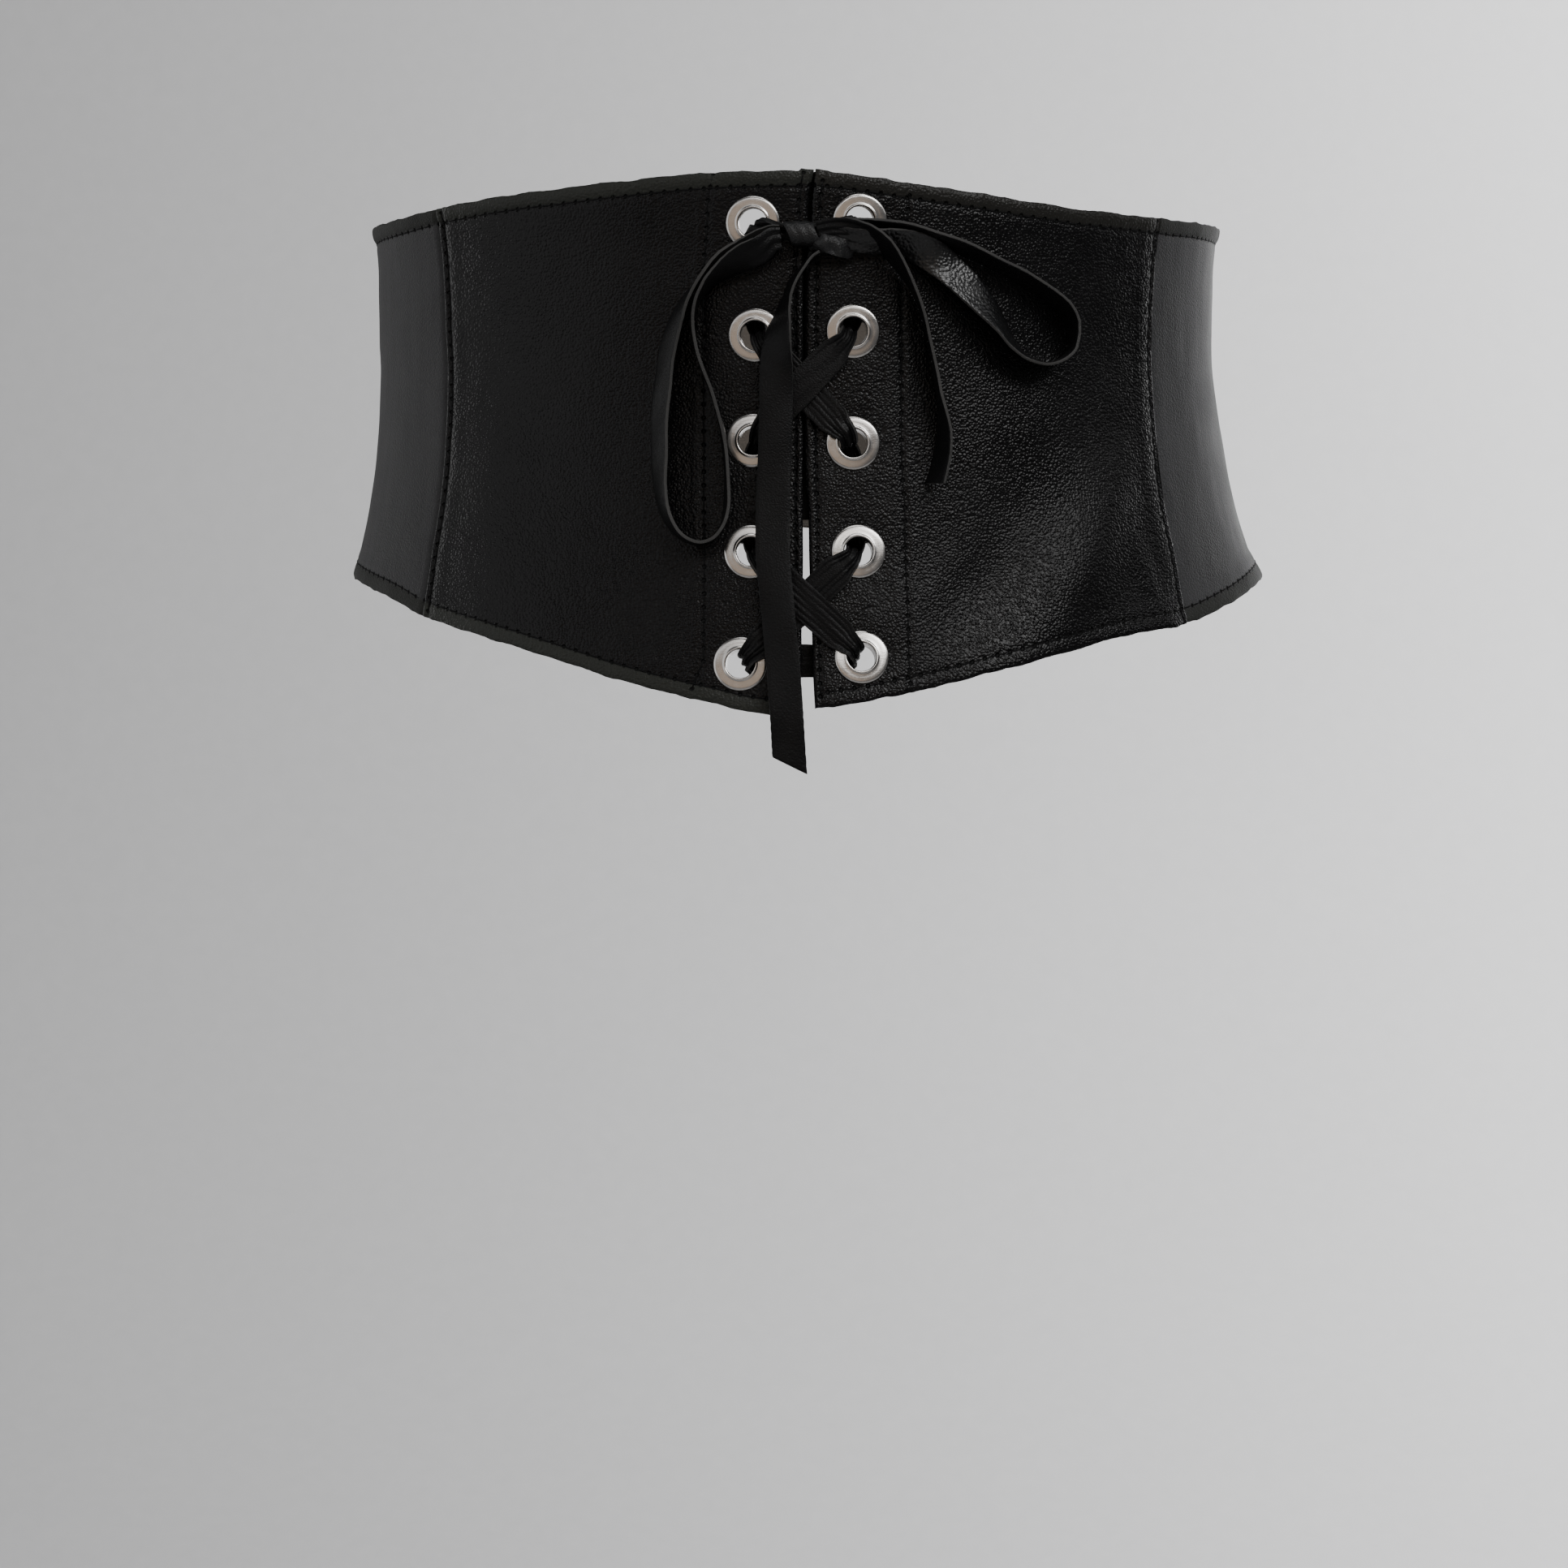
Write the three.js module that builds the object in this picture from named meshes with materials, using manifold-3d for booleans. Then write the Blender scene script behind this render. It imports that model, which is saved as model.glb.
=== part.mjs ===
// A black leather corset belt, laced in front and tied in a bow, in the shape it has on a waist.
// Millimetres, +Z up. The front of the belt faces -Y, and +X is to the right of someone who looks at it.
// The origin is the middle of the waist, at the height where the belt is narrowest.

import * as THREE from 'three';
import Module from 'manifold-3d';
import { mergeVertices } from 'three/addons/utils/BufferGeometryUtils.js';

const wasm = await Module();
wasm.setup();

// The waist, measured over the leather
const WAIST_HALF_WIDTH = 137;
const WAIST_HALF_DEPTH = 102;
const HIP_WIDENING = 21;
const HIP_DEEPENING = 10.5;
const RIB_WIDENING = 2.6;
const RIB_DEEPENING = 2;

// The belt's height at the front, above and below the waistline
const FRONT_TOP = 48.6;
const FRONT_BOTTOM = 122.6;

// The leather
const LEATHER = 2.2;
const SEAM_GAP = 0.3;
const SEAM_ANGLE = 55;
const SEAM_LEAN = 3.4;
const OPENING = 4;
const FOLD_DEPTH = 1.6;

// The eyelets and the washers behind them
const EYELET_HOLE = 9;
const EYELET_WIDTH = 17;
const EYELET_RISE = 1.4;
const EYELET_WALL = 0.6;
const EYELET_SEAT = 0.45;
const EYELET_PITCH = 34.4;
const EYELET_TOP = 32;
const EYELET_INSET = 15;
const WASHER_THICKNESS = 0.7;
const WASHER_GAP = 0.5;
const CLEARANCE = 0.3;

// The lace
const LACE_WIDTH = 10.4;
const LACE_THICKNESS = 1;
const LACE_FOLDED_WIDTH = 5;
const LACE_FOLDED_THICKNESS = 1.5;

// The knot
const KNOT_WIDTH = 9.8;
const KNOT_HEIGHT = 8;
const KNOT_DEPTH = 7.2;
const KNOT_X = -0.3;
const KNOT_Z = 27.6;

// How finely the surfaces are cut into faces
const FRONT_COLUMNS = 16;
const SIDE_COLUMNS = 24;
const WALL_ROWS = 10;
const ROUND_SIDES = 14;
const STEPS_BETWEEN_ROWS = 2;

// Widening away from the waistline. Columns: height as a share of FRONT_TOP above the waist or of FRONT_BOTTOM
// below it, share of the widening, share of the deepening.
const FLARE = [
  [-1.05, 1.04, 1.04],
  [-0.82, 0.78, 0.78],
  [-0.62, 0.55, 0.5],
  [-0.42, 0.25, 0.24],
  [-0.2, 0.06, 0.06],
  [0, 0, 0],
  [0.45, 0.16, 0.2],
  [0.7, 0.5, 0.5],
  [1, 1, 1],
];

// The cut of the top edge. Columns: angle from the front in degrees, height on the left and on the right, both as
// shares of FRONT_TOP.
const TOP_EDGE = [
  [0, 0.985, 1],
  [8, 0.98, 0.955],
  [13, 0.97, 0.92],
  [25, 0.93, 0.85],
  [33, 0.9, 0.81],
  [41, 0.88, 0.78],
  [57, 0.825, 0.765],
  [70, 0.79, 0.775],
  [90, 0.785, 0.785],
  [135, 0.765, 0.765],
  [180, 0.76, 0.76],
];

// The cut of the bottom edge. Columns: angle from the front, depth on the left and on the right, both as shares of
// FRONT_BOTTOM.
const BOTTOM_EDGE = [
  [0, 1.003, 0.992],
  [5, 0.995, 0.975],
  [10, 0.97, 0.955],
  [17, 0.935, 0.922],
  [25, 0.887, 0.878],
  [34, 0.832, 0.83],
  [43, 0.785, 0.79],
  [53, 0.738, 0.76],
  [62, 0.687, 0.715],
  [76, 0.64, 0.65],
  [90, 0.61, 0.61],
  [135, 0.5, 0.5],
  [180, 0.45, 0.45],
];

// The two front edges. Columns: height up the front from 0 at the bottom to 1 at the top, place of the left edge and
// of the right edge as shares of OPENING.
const FRONT_EDGES = [
  [0, -0.9, 1.13],
  [0.07, 0.02, 0.98],
  [0.15, 0.1, 0.9],
  [0.27, 0.21, 0.7],
  [0.37, 0.19, 0.62],
  [0.42, 0.21, 0.43],
  [0.5, 0.23, 0.35],
  [0.65, 0.23, 0.35],
  [0.8, 0.25, 0.4],
  [0.9, 0.58, 0.87],
  [0.945, 0.63, 0.94],
  [1, 1.08, 1.2],
];

// The five pairs of eyelets from the top. Columns: distance from the front edge on the left and on the right as
// shares of EYELET_INSET, and how far each sits above its row as a share of EYELET_PITCH.
const EYELET_ROWS = [
  [1.147, 1.007, -0.012, 0.009],
  [1.002, 1.007, -0.032, 0.003],
  [1.048, 1.005, 0.006, -0.017],
  [1.079, 1.028, -0.009, -0.006],
  [1.274, 1.018, -0.029, 0.032],
];

// Soft folds where the leather drapes over the hip. Columns: angle of the middle in degrees, height of the middle as
// a share of FRONT_BOTTOM below the waist, half length and half width as shares of FRONT_BOTTOM, slope of the fold in
// degrees from level, height as a share of FOLD_DEPTH.
const FOLDS = [
  [33, 0.6, 0.34, 0.09, 52, 1],
  [22, 0.55, 0.3, 0.08, 58, -0.6],
  [43, 0.58, 0.22, 0.07, 60, -0.7],
  [17, 0.66, 0.16, 0.06, 40, 0.4],
  [-40, 0.6, 0.3, 0.12, -60, 0.5],
];

// The lace's way through the eyelets, from one side of the bow to the other. Columns: the eyelet that a run leaves,
// the eyelet it goes to, whether it lies in front of the leather, and whether it lies over the run it crosses.
const LACE_RUNS = [
  ['left_1', 'left_2', false, false],
  ['left_2', 'right_3', true, false],
  ['right_3', 'right_4', false, false],
  ['right_4', 'left_5', true, false],
  ['left_5', 'right_5', false, false],
  ['right_5', 'left_4', true, true],
  ['left_4', 'left_3', false, false],
  ['left_3', 'right_2', true, true],
  ['right_2', 'right_1', false, false],
];

// The folded lace between the knot and the top eyelets. Columns: x, z, distance in front of the leather.
const LACE_START_LEFT = [
  [-6.2, 28.7, 2.3],
  [-8.4, 29.3, 2.5],
  [-11, 30.2, 2.6],
];
const LACE_END_RIGHT = [
  [15.4, 31, 2.6],
  [12.4, 30.3, 2.7],
  [9, 29.4, 2.5],
  [5.4, 28.7, 2.3],
];

// The bow's loops and tails, from the knot outwards. Columns: x, z, distance in front of the leather, lean of the
// strip from edge-on in degrees, width as a share of LACE_WIDTH.
const LEFT_LOOP = [
  [-6.2, 27.2, 4.2, 84, 0.635],
  [-8.9, 26.8, 4.5, 78, 0.692],
  [-12.5, 25, 4.9, 68, 0.827],
  [-17.6, 22.1, 5.6, 50, 0.981],
  [-23.7, 19.7, 6, 28, 1],
  [-29.3, 15.8, 6.3, 8, 1],
  [-34.6, 9.6, 6.5, -8, 1],
  [-38.2, 2.7, 6.8, -20, 1],
  [-41.3, -7.9, 7.1, -27, 1],
  [-43, -19.5, 7, -28, 1],
  [-44, -31, 7, -28, 1],
  [-44, -42.5, 6.8, -25, 1],
  [-43.6, -52, 6.6, -20, 1],
  [-42.2, -59, 6.4, -13, 1],
  [-39, -64.6, 6.3, -8, 1],
  [-35.1, -67.8, 6.3, -4, 1],
  [-30.8, -68.8, 6.2, 0, 1],
  [-26.9, -67.1, 6.3, 3, 1],
  [-24.4, -63.4, 6.3, 5, 1],
  [-23, -57.9, 6.3, 6, 1],
  [-22.8, -50.4, 6.3, 6, 1],
  [-23.4, -41.6, 6.3, 4, 1],
  [-24.8, -31.9, 6.3, 2, 1],
  [-27, -23.8, 6.2, 0, 1],
  [-30, -15.4, 6.2, 0, 1],
  [-32.8, -7, 6.3, 2, 1],
  [-33.8, -0.1, 6.3, 2, 1],
  [-32.6, 5.9, 6.3, -2, 1],
  [-29.4, 11.4, 7.1, -10, 1],
  [-24.2, 15.9, 8.6, -28, 1],
  [-17.8, 20, 9.7, -48, 0.981],
  [-12.2, 22.8, 8.5, -66, 0.827],
  [-8.9, 25.7, 7, -78, 0.692],
  [-6.2, 26.2, 6, -84, 0.635],
];
const RIGHT_LOOP = [
  [5.2, 28.5, 4.1, -86, 0.519],
  [9.3, 28.8, 4.4, -80, 0.558],
  [14.2, 29.1, 5, -66, 0.692],
  [19.5, 29, 5.4, -50, 0.865],
  [26.1, 29, 5.5, -32, 0.981],
  [33, 28.8, 6.3, -22, 1],
  [41, 27, 6.3, -18, 1],
  [48.6, 24.7, 6.3, -18, 1],
  [56.2, 21.7, 6.3, -18, 1],
  [63.8, 18.1, 6.3, -18, 1],
  [71.5, 14.4, 6.3, -18, 1],
  [78.6, 10.1, 6.3, -20, 1],
  [83.4, 5.9, 6.3, -22, 1],
  [85.9, 1.8, 6.3, -22, 1],
  [86.4, -2.4, 6.3, -20, 1],
  [85.7, -6.7, 6.3, -12, 1],
  [82.5, -10.1, 6.3, -5, 1],
  [77.5, -11.8, 6.3, -2, 1],
  [71.9, -10.3, 6.3, -4, 1],
  [67.3, -6.4, 6.4, -12, 1],
  [63.2, -0.5, 6.9, -32, 1],
  [58.4, 5.7, 7, -60, 1],
  [52.4, 12, 6.9, -86, 1],
  [46.6, 17.2, 6, -112, 1],
  [41.2, 21.3, 5.4, -138, 1],
  [35.8, 24, 5.9, -158, 1],
  [30.3, 25.6, 6.6, -158, 0.981],
  [24.3, 25.6, 7.3, -144, 0.904],
  [18.9, 25.8, 7.2, -124, 0.788],
  [14, 26.7, 6.8, -110, 0.654],
  [9.1, 27.5, 5.9, -100, 0.558],
  [5.2, 27.7, 5.6, -94, 0.519],
];
const RIGHT_TAIL = [
  [5.2, 27, 7.1, -86, 0.481],
  [9.3, 27.2, 7.4, -82, 0.519],
  [13.5, 26.8, 8.2, -74, 0.635],
  [18, 25.6, 9.1, -62, 0.827],
  [22.2, 24.2, 9.2, -48, 0.962],
  [26.1, 22, 8.6, -36, 1],
  [30.3, 18.2, 7.6, -22, 1],
  [34.7, 12, 6.7, -8, 1],
  [38, 4.2, 6.3, -2, 1],
  [40.5, -4.5, 6.3, 0, 1],
  [42.1, -13.4, 6.2, -2, 1],
  [43.5, -21.6, 6.1, -6, 1],
  [44.6, -28.3, 6, -14, 1],
  [45.1, -34.3, 5.8, -22, 1],
  [44.6, -41, 5.6, -28, 1],
  [43.5, -45.7, 5.5, -30, 1],
  [42.2, -50.2, 5.5, -30, 1],
];
const CENTRE_TAIL = [
  [6, 21.3, 5.2, 8, 0.577],
  [3.6, 19.8, 5.6, 4, 0.712],
  [0.8, 17, 6.2, -4, 0.923],
  [-2, 13.3, 6.5, -10, 1],
  [-3.8, 8.7, 6.5, -12, 1],
  [-5.5, 2.7, 6.8, -24, 1],
  [-6.9, -3.7, 7.6, -46, 1],
  [-7.4, -9.5, 7.4, -66, 1],
  [-7.5, -15, 7, -82, 1],
  [-7.6, -23.5, 6.6, -90, 1],
  [-8.1, -42.6, 6.1, -90, 1],
  [-8.6, -60, 6.1, -90, 1.038],
  [-8.4, -75.6, 6.3, -88, 1.019],
  [-7.4, -85.7, 6.2, -86, 1],
  [-6.6, -94.6, 6, -84, 1],
  [-5.6, -104.7, 5.8, -88, 1],
  [-4.8, -114.8, 5.6, -92, 1],
  [-4.2, -123.6, 5.4, -92, 1],
  [-3.7, -132.4, 5.2, -90, 1],
  [-3.3, -138.4, 5.2, -90, 1],
];
const TAIL_CUT_SLANT = 6;

const RADIANS = Math.PI / 180;
const TOWARDS_VIEWER = new THREE.Vector3(0, -1, 0);

const outerLeather = new THREE.MeshStandardMaterial({ color: 0x151517, roughness: 0.48, metalness: 0 });
const sideLeather = new THREE.MeshStandardMaterial({ color: 0x202023, roughness: 0.55, metalness: 0 });
const laceLeather = new THREE.MeshStandardMaterial({ color: 0x1c1b1d, roughness: 0.7, metalness: 0 });
const nickel = new THREE.MeshStandardMaterial({ color: 0xd8d3cd, roughness: 0.25, metalness: 1 });

// Reads a column of a table at a place between its rows, on a smooth curve through them.
function readTable(rows, at, column) {
  const last = rows.length - 1;
  if (at <= rows[0][0]) return rows[0][column];
  if (at >= rows[last][0]) return rows[last][column];
  let i = 0;
  while (rows[i + 1][0] < at) i += 1;
  const slope = (a, b) => (rows[b][column] - rows[a][column]) / (rows[b][0] - rows[a][0]);
  const step = rows[i + 1][0] - rows[i][0];
  const t = (at - rows[i][0]) / step;
  const slopeIn = slope(Math.max(i - 1, 0), i + 1);
  const slopeOut = slope(i, Math.min(i + 2, last));
  const before = (1 + 2 * t) * (1 - t) ** 2 * rows[i][column] + t * (1 - t) ** 2 * step * slopeIn;
  const after = t * t * (3 - 2 * t) * rows[i + 1][column] + t * t * (t - 1) * step * slopeOut;
  return before + after;
}

// The outside of the leather: half width and half depth of the waist at a height.
function halfSizes(z) {
  const share = z / (z > 0 ? FRONT_TOP : FRONT_BOTTOM);
  const widening = z > 0 ? RIB_WIDENING : HIP_WIDENING;
  const deepening = z > 0 ? RIB_DEEPENING : HIP_DEEPENING;
  return {
    width: WAIST_HALF_WIDTH + widening * readTable(FLARE, share, 1),
    depth: WAIST_HALF_DEPTH + deepening * readTable(FLARE, share, 2),
  };
}

// How far the folds raise the leather at an angle from the front and a height.
function foldHeight(angle, z) {
  let height = 0;
  for (const [middle, drop, halfLength, halfWidth, slope, share] of FOLDS) {
    const along = (angle - middle) * RADIANS * WAIST_HALF_WIDTH;
    const up = z + drop * FRONT_BOTTOM;
    const u = along * Math.cos(slope * RADIANS) + up * Math.sin(slope * RADIANS);
    const v = up * Math.cos(slope * RADIANS) - along * Math.sin(slope * RADIANS);
    const far = (u / (halfLength * FRONT_BOTTOM)) ** 2 + (v / (halfWidth * FRONT_BOTTOM)) ** 2;
    height += share * FOLD_DEPTH * Math.exp(-far);
  }
  return height;
}

function outerPoint(angle, z) {
  const half = halfSizes(z);
  const fold = foldHeight(angle, z);
  const sine = Math.sin(angle * RADIANS);
  const cosine = Math.cos(angle * RADIANS);
  return new THREE.Vector3((half.width + fold) * sine, -(half.depth + fold) * cosine, z);
}

function outward(angle, z) {
  const around = outerPoint(angle + 0.5, z).sub(outerPoint(angle - 0.5, z));
  const up = outerPoint(angle, z + 0.5).sub(outerPoint(angle, z - 0.5));
  return around.cross(up).normalize();
}

function angleAt(x, z) {
  return Math.asin(x / halfSizes(z).width) / RADIANS;
}

// A place a given distance in front of the leather, straight towards a viewer. Below the belt it stays in line with
// the bottom edge.
function inFront(x, z, distance) {
  const onBelt = Math.max(z, -FRONT_BOTTOM);
  const surface = outerPoint(angleAt(x, onBelt), onBelt);
  return new THREE.Vector3(x, surface.y - distance, z);
}

function topEdge(angle) {
  return FRONT_TOP * readTable(TOP_EDGE, Math.abs(angle), angle < 0 ? 1 : 2);
}

function bottomEdge(angle) {
  return -FRONT_BOTTOM * readTable(BOTTOM_EDGE, Math.abs(angle), angle < 0 ? 1 : 2);
}

function frontEdgeX(side, share) {
  return OPENING * readTable(FRONT_EDGES, share, side < 0 ? 1 : 2);
}

function frontEdgeAngle(side, share) {
  const z = THREE.MathUtils.lerp(bottomEdge(side), topEdge(side), share);
  return angleAt(frontEdgeX(side, share), z);
}

// The side seam runs a little further back at the top than at the bottom.
function seamAngle(side, share, gap) {
  return side * (SEAM_ANGLE + SEAM_LEAN * (share - 0.5)) + gap / 2 / WAIST_HALF_WIDTH / RADIANS;
}

function closedGeometry(points, faces) {
  const geometry = new THREE.BufferGeometry();
  const values = new Float32Array(points.flatMap((point) => [point.x, point.y, point.z]));
  geometry.setAttribute('position', new THREE.BufferAttribute(values, 3));
  geometry.setIndex(faces);
  return geometry;
}

function toSolid(geometry) {
  const bare = geometry.clone();
  bare.deleteAttribute('normal');
  bare.deleteAttribute('uv');
  const merged = bare.index && !geometry.attributes.uv ? bare : mergeVertices(bare, 1e-4);
  return new wasm.Manifold(new wasm.Mesh({
    numProp: 3,
    vertProperties: new Float32Array(merged.attributes.position.array),
    triVerts: new Uint32Array(merged.index.array),
  }));
}

function toGeometry(solid) {
  const mesh = solid.getMesh();
  const geometry = new THREE.BufferGeometry();
  geometry.setAttribute('position', new THREE.BufferAttribute(new Float32Array(mesh.vertProperties), 3));
  geometry.setIndex(Array.from(mesh.triVerts));
  return geometry;
}

// A wall of leather between two angles, which may change with height: an outer and an inner skin, joined at the edges.
function wallGeometry(fromAngle, toAngle, columns) {
  const points = [];
  for (const depth of [0, LEATHER]) {
    for (let row = 0; row <= WALL_ROWS; row += 1) {
      const share = row / WALL_ROWS;
      for (let column = 0; column <= columns; column += 1) {
        const angle = THREE.MathUtils.lerp(fromAngle(share), toAngle(share), column / columns);
        const z = THREE.MathUtils.lerp(bottomEdge(angle), topEdge(angle), share);
        points.push(outerPoint(angle, z).addScaledVector(outward(angle, z), -depth));
      }
    }
  }
  const across = columns + 1;
  const skin = across * (WALL_ROWS + 1);
  const faces = [];
  const quad = (a, b, c, d) => faces.push(a, b, c, a, c, d);
  for (let row = 0; row < WALL_ROWS; row += 1) {
    for (let column = 0; column < columns; column += 1) {
      const a = row * across + column;
      quad(a, a + 1, a + 1 + across, a + across);
      quad(skin + a, skin + a + across, skin + a + 1 + across, skin + a + 1);
    }
    const left = row * across;
    const right = left + columns;
    quad(left, left + across, skin + left + across, skin + left);
    quad(right, skin + right, skin + right + across, right + across);
  }
  for (let column = 0; column < columns; column += 1) {
    const top = WALL_ROWS * across + column;
    quad(column, skin + column, skin + column + 1, column + 1);
    quad(top, top + 1, skin + top + 1, skin + top);
  }
  return closedGeometry(points, faces);
}

// Every eyelet's centre on the leather and the way it faces.
function eyeletPlaces() {
  const places = {};
  EYELET_ROWS.forEach(([insetLeft, insetRight, liftLeft, liftRight], row) => {
    for (const [name, side, inset, lift] of [['left', -1, insetLeft, liftLeft], ['right', 1, insetRight, liftRight]]) {
      const z = EYELET_TOP - EYELET_PITCH * (row - lift);
      const share = (z - bottomEdge(side)) / (topEdge(side) - bottomEdge(side));
      const x = frontEdgeX(side, share) + side * inset * EYELET_INSET;
      const angle = angleAt(x, z);
      places[`${name}_${row + 1}`] = { x, z, side, centre: outerPoint(angle, z), facing: outward(angle, z) };
    }
  });
  return places;
}

// Turns a group so that its local +Y points along a direction.
function faceAlong(object, place) {
  object.position.copy(place.centre);
  object.quaternion.setFromUnitVectors(new THREE.Vector3(0, 1, 0), place.facing);
}

function frontPanel(name, side, places) {
  const edge = (share) => frontEdgeAngle(side, share);
  const seam = (share) => seamAngle(side, share, -side * SEAM_GAP);
  const wall = side < 0 ? wallGeometry(seam, edge, FRONT_COLUMNS) : wallGeometry(edge, seam, FRONT_COLUMNS);
  let solid = toSolid(wall);
  const holeRadius = EYELET_HOLE / 2 + EYELET_WALL + CLEARANCE;
  for (const place of Object.values(places).filter((one) => one.side === side)) {
    const punch = new THREE.Mesh(new THREE.CylinderGeometry(holeRadius, holeRadius, 8 * LEATHER, ROUND_SIDES));
    faceAlong(punch, place);
    punch.updateMatrix();
    solid = solid.subtract(toSolid(punch.geometry.applyMatrix4(punch.matrix)));
  }
  const panel = new THREE.Mesh(toGeometry(solid), outerLeather);
  panel.name = name;
  return panel;
}

// The side panels go round to a plain seam in the middle of the back.
function sidePanel(name, side) {
  const seam = (share) => seamAngle(side, share, side * SEAM_GAP);
  const back = () => side * (180 - SEAM_GAP / 2 / WAIST_HALF_WIDTH / RADIANS);
  const wall = side < 0 ? wallGeometry(back, seam, SIDE_COLUMNS) : wallGeometry(seam, back, SIDE_COLUMNS);
  const panel = new THREE.Mesh(wall, sideLeather);
  panel.name = name;
  return panel;
}

function latheAround(profile) {
  const closed = [...profile, profile[0]].map(([radius, height]) => new THREE.Vector2(radius, height));
  return toGeometry(toSolid(new THREE.LatheGeometry(closed, ROUND_SIDES)));
}

// One eyelet: a domed rim in front, a barrel through the leather and an edge rolled over the washer behind.
function eyeletGeometry() {
  const hole = EYELET_HOLE / 2;
  const barrel = hole + EYELET_WALL;
  const rim = EYELET_WIDTH / 2;
  const rollFront = -(LEATHER + WASHER_GAP + WASHER_THICKNESS + CLEARANCE);
  const rollBack = rollFront - EYELET_WALL;
  const roll = barrel + 2 * EYELET_WALL;
  return latheAround([
    [hole, rollBack],
    [roll, rollBack],
    [roll, rollFront],
    [barrel, rollFront],
    [barrel, EYELET_SEAT],
    [rim, EYELET_SEAT],
    [rim, 0.45 * EYELET_RISE],
    [rim - 0.4 * (rim - hole), 0.93 * EYELET_RISE],
    [barrel, EYELET_RISE],
    [hole, 0.6 * EYELET_RISE],
  ]);
}

function washerGeometry() {
  const bore = EYELET_HOLE / 2 + EYELET_WALL + CLEARANCE;
  const rim = EYELET_WIDTH / 2;
  const front = -(LEATHER + WASHER_GAP);
  const back = front - WASHER_THICKNESS;
  return latheAround([[bore, back], [rim, back], [rim, front], [bore, front]]);
}

// A closed strip of lace through a row of sections. Each section has a middle, an edge direction, a width and a
// thickness.
function stripGeometry(sections) {
  const points = [];
  const faces = [];
  const quad = (a, b, c, d) => faces.push(a, b, c, a, c, d);
  sections.forEach((section, i) => {
    const before = sections[Math.max(i - 1, 0)].middle;
    const after = sections[Math.min(i + 1, sections.length - 1)].middle;
    const along = after.clone().sub(before).normalize();
    const edge = section.edge.clone().addScaledVector(along, -section.edge.dot(along)).normalize();
    const face = along.clone().cross(edge);
    for (const [u, v] of [[-1, -1], [1, -1], [1, 1], [-1, 1]]) {
      const slant = along.clone().multiplyScalar((section.slant ?? 0) * u / 2);
      points.push(section.middle.clone()
        .addScaledVector(edge, u * section.width / 2)
        .addScaledVector(face, v * section.thickness / 2)
        .add(slant));
    }
    if (i === 0) return;
    const now = 4 * i;
    const then = now - 4;
    for (let k = 0; k < 4; k += 1) {
      const next = (k + 1) % 4;
      quad(then + k, then + next, now + next, now + k);
    }
  });
  const end = points.length - 4;
  quad(3, 2, 1, 0);
  quad(end, end + 1, end + 2, end + 3);
  return closedGeometry(points, faces);
}

// Places more sections on a smooth curve between the given ones.
function smoothSections(sections) {
  const curve = new THREE.CatmullRomCurve3(sections.map((section) => section.middle), false, 'centripetal');
  const spans = sections.length - 1;
  const smooth = [];
  for (let step = 0; step <= spans * STEPS_BETWEEN_ROWS; step += 1) {
    const at = step / STEPS_BETWEEN_ROWS;
    const a = sections[Math.floor(at)];
    const b = sections[Math.min(Math.floor(at) + 1, spans)];
    const t = at - Math.floor(at);
    smooth.push({
      middle: curve.getPoint(at / spans),
      edge: a.edge.clone().lerp(b.edge, t),
      width: THREE.MathUtils.lerp(a.width, b.width, t),
      thickness: THREE.MathUtils.lerp(a.thickness, b.thickness, t),
      slant: THREE.MathUtils.lerp(a.slant ?? 0, b.slant ?? 0, t),
    });
  }
  return smooth;
}

// One loop or tail of the bow, from its table.
function bowStrip(name, rows, endSlant) {
  const middles = rows.map(([x, z, distance]) => inFront(x, z, distance));
  const sections = rows.map(([, , , lean, width], i) => {
    const along = middles[Math.min(i + 1, rows.length - 1)].clone().sub(middles[Math.max(i - 1, 0)]);
    const across = along.cross(TOWARDS_VIEWER).normalize();
    const edge = TOWARDS_VIEWER.clone().multiplyScalar(Math.cos(lean * RADIANS));
    edge.addScaledVector(across, Math.sin(lean * RADIANS));
    const slant = i === rows.length - 1 ? endSlant : 0;
    return { middle: middles[i], edge, width: width * LACE_WIDTH, thickness: LACE_THICKNESS, slant };
  });
  const strip = new THREE.Mesh(stripGeometry(smoothSections(sections)), laceLeather);
  strip.name = name;
  return strip;
}

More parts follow.
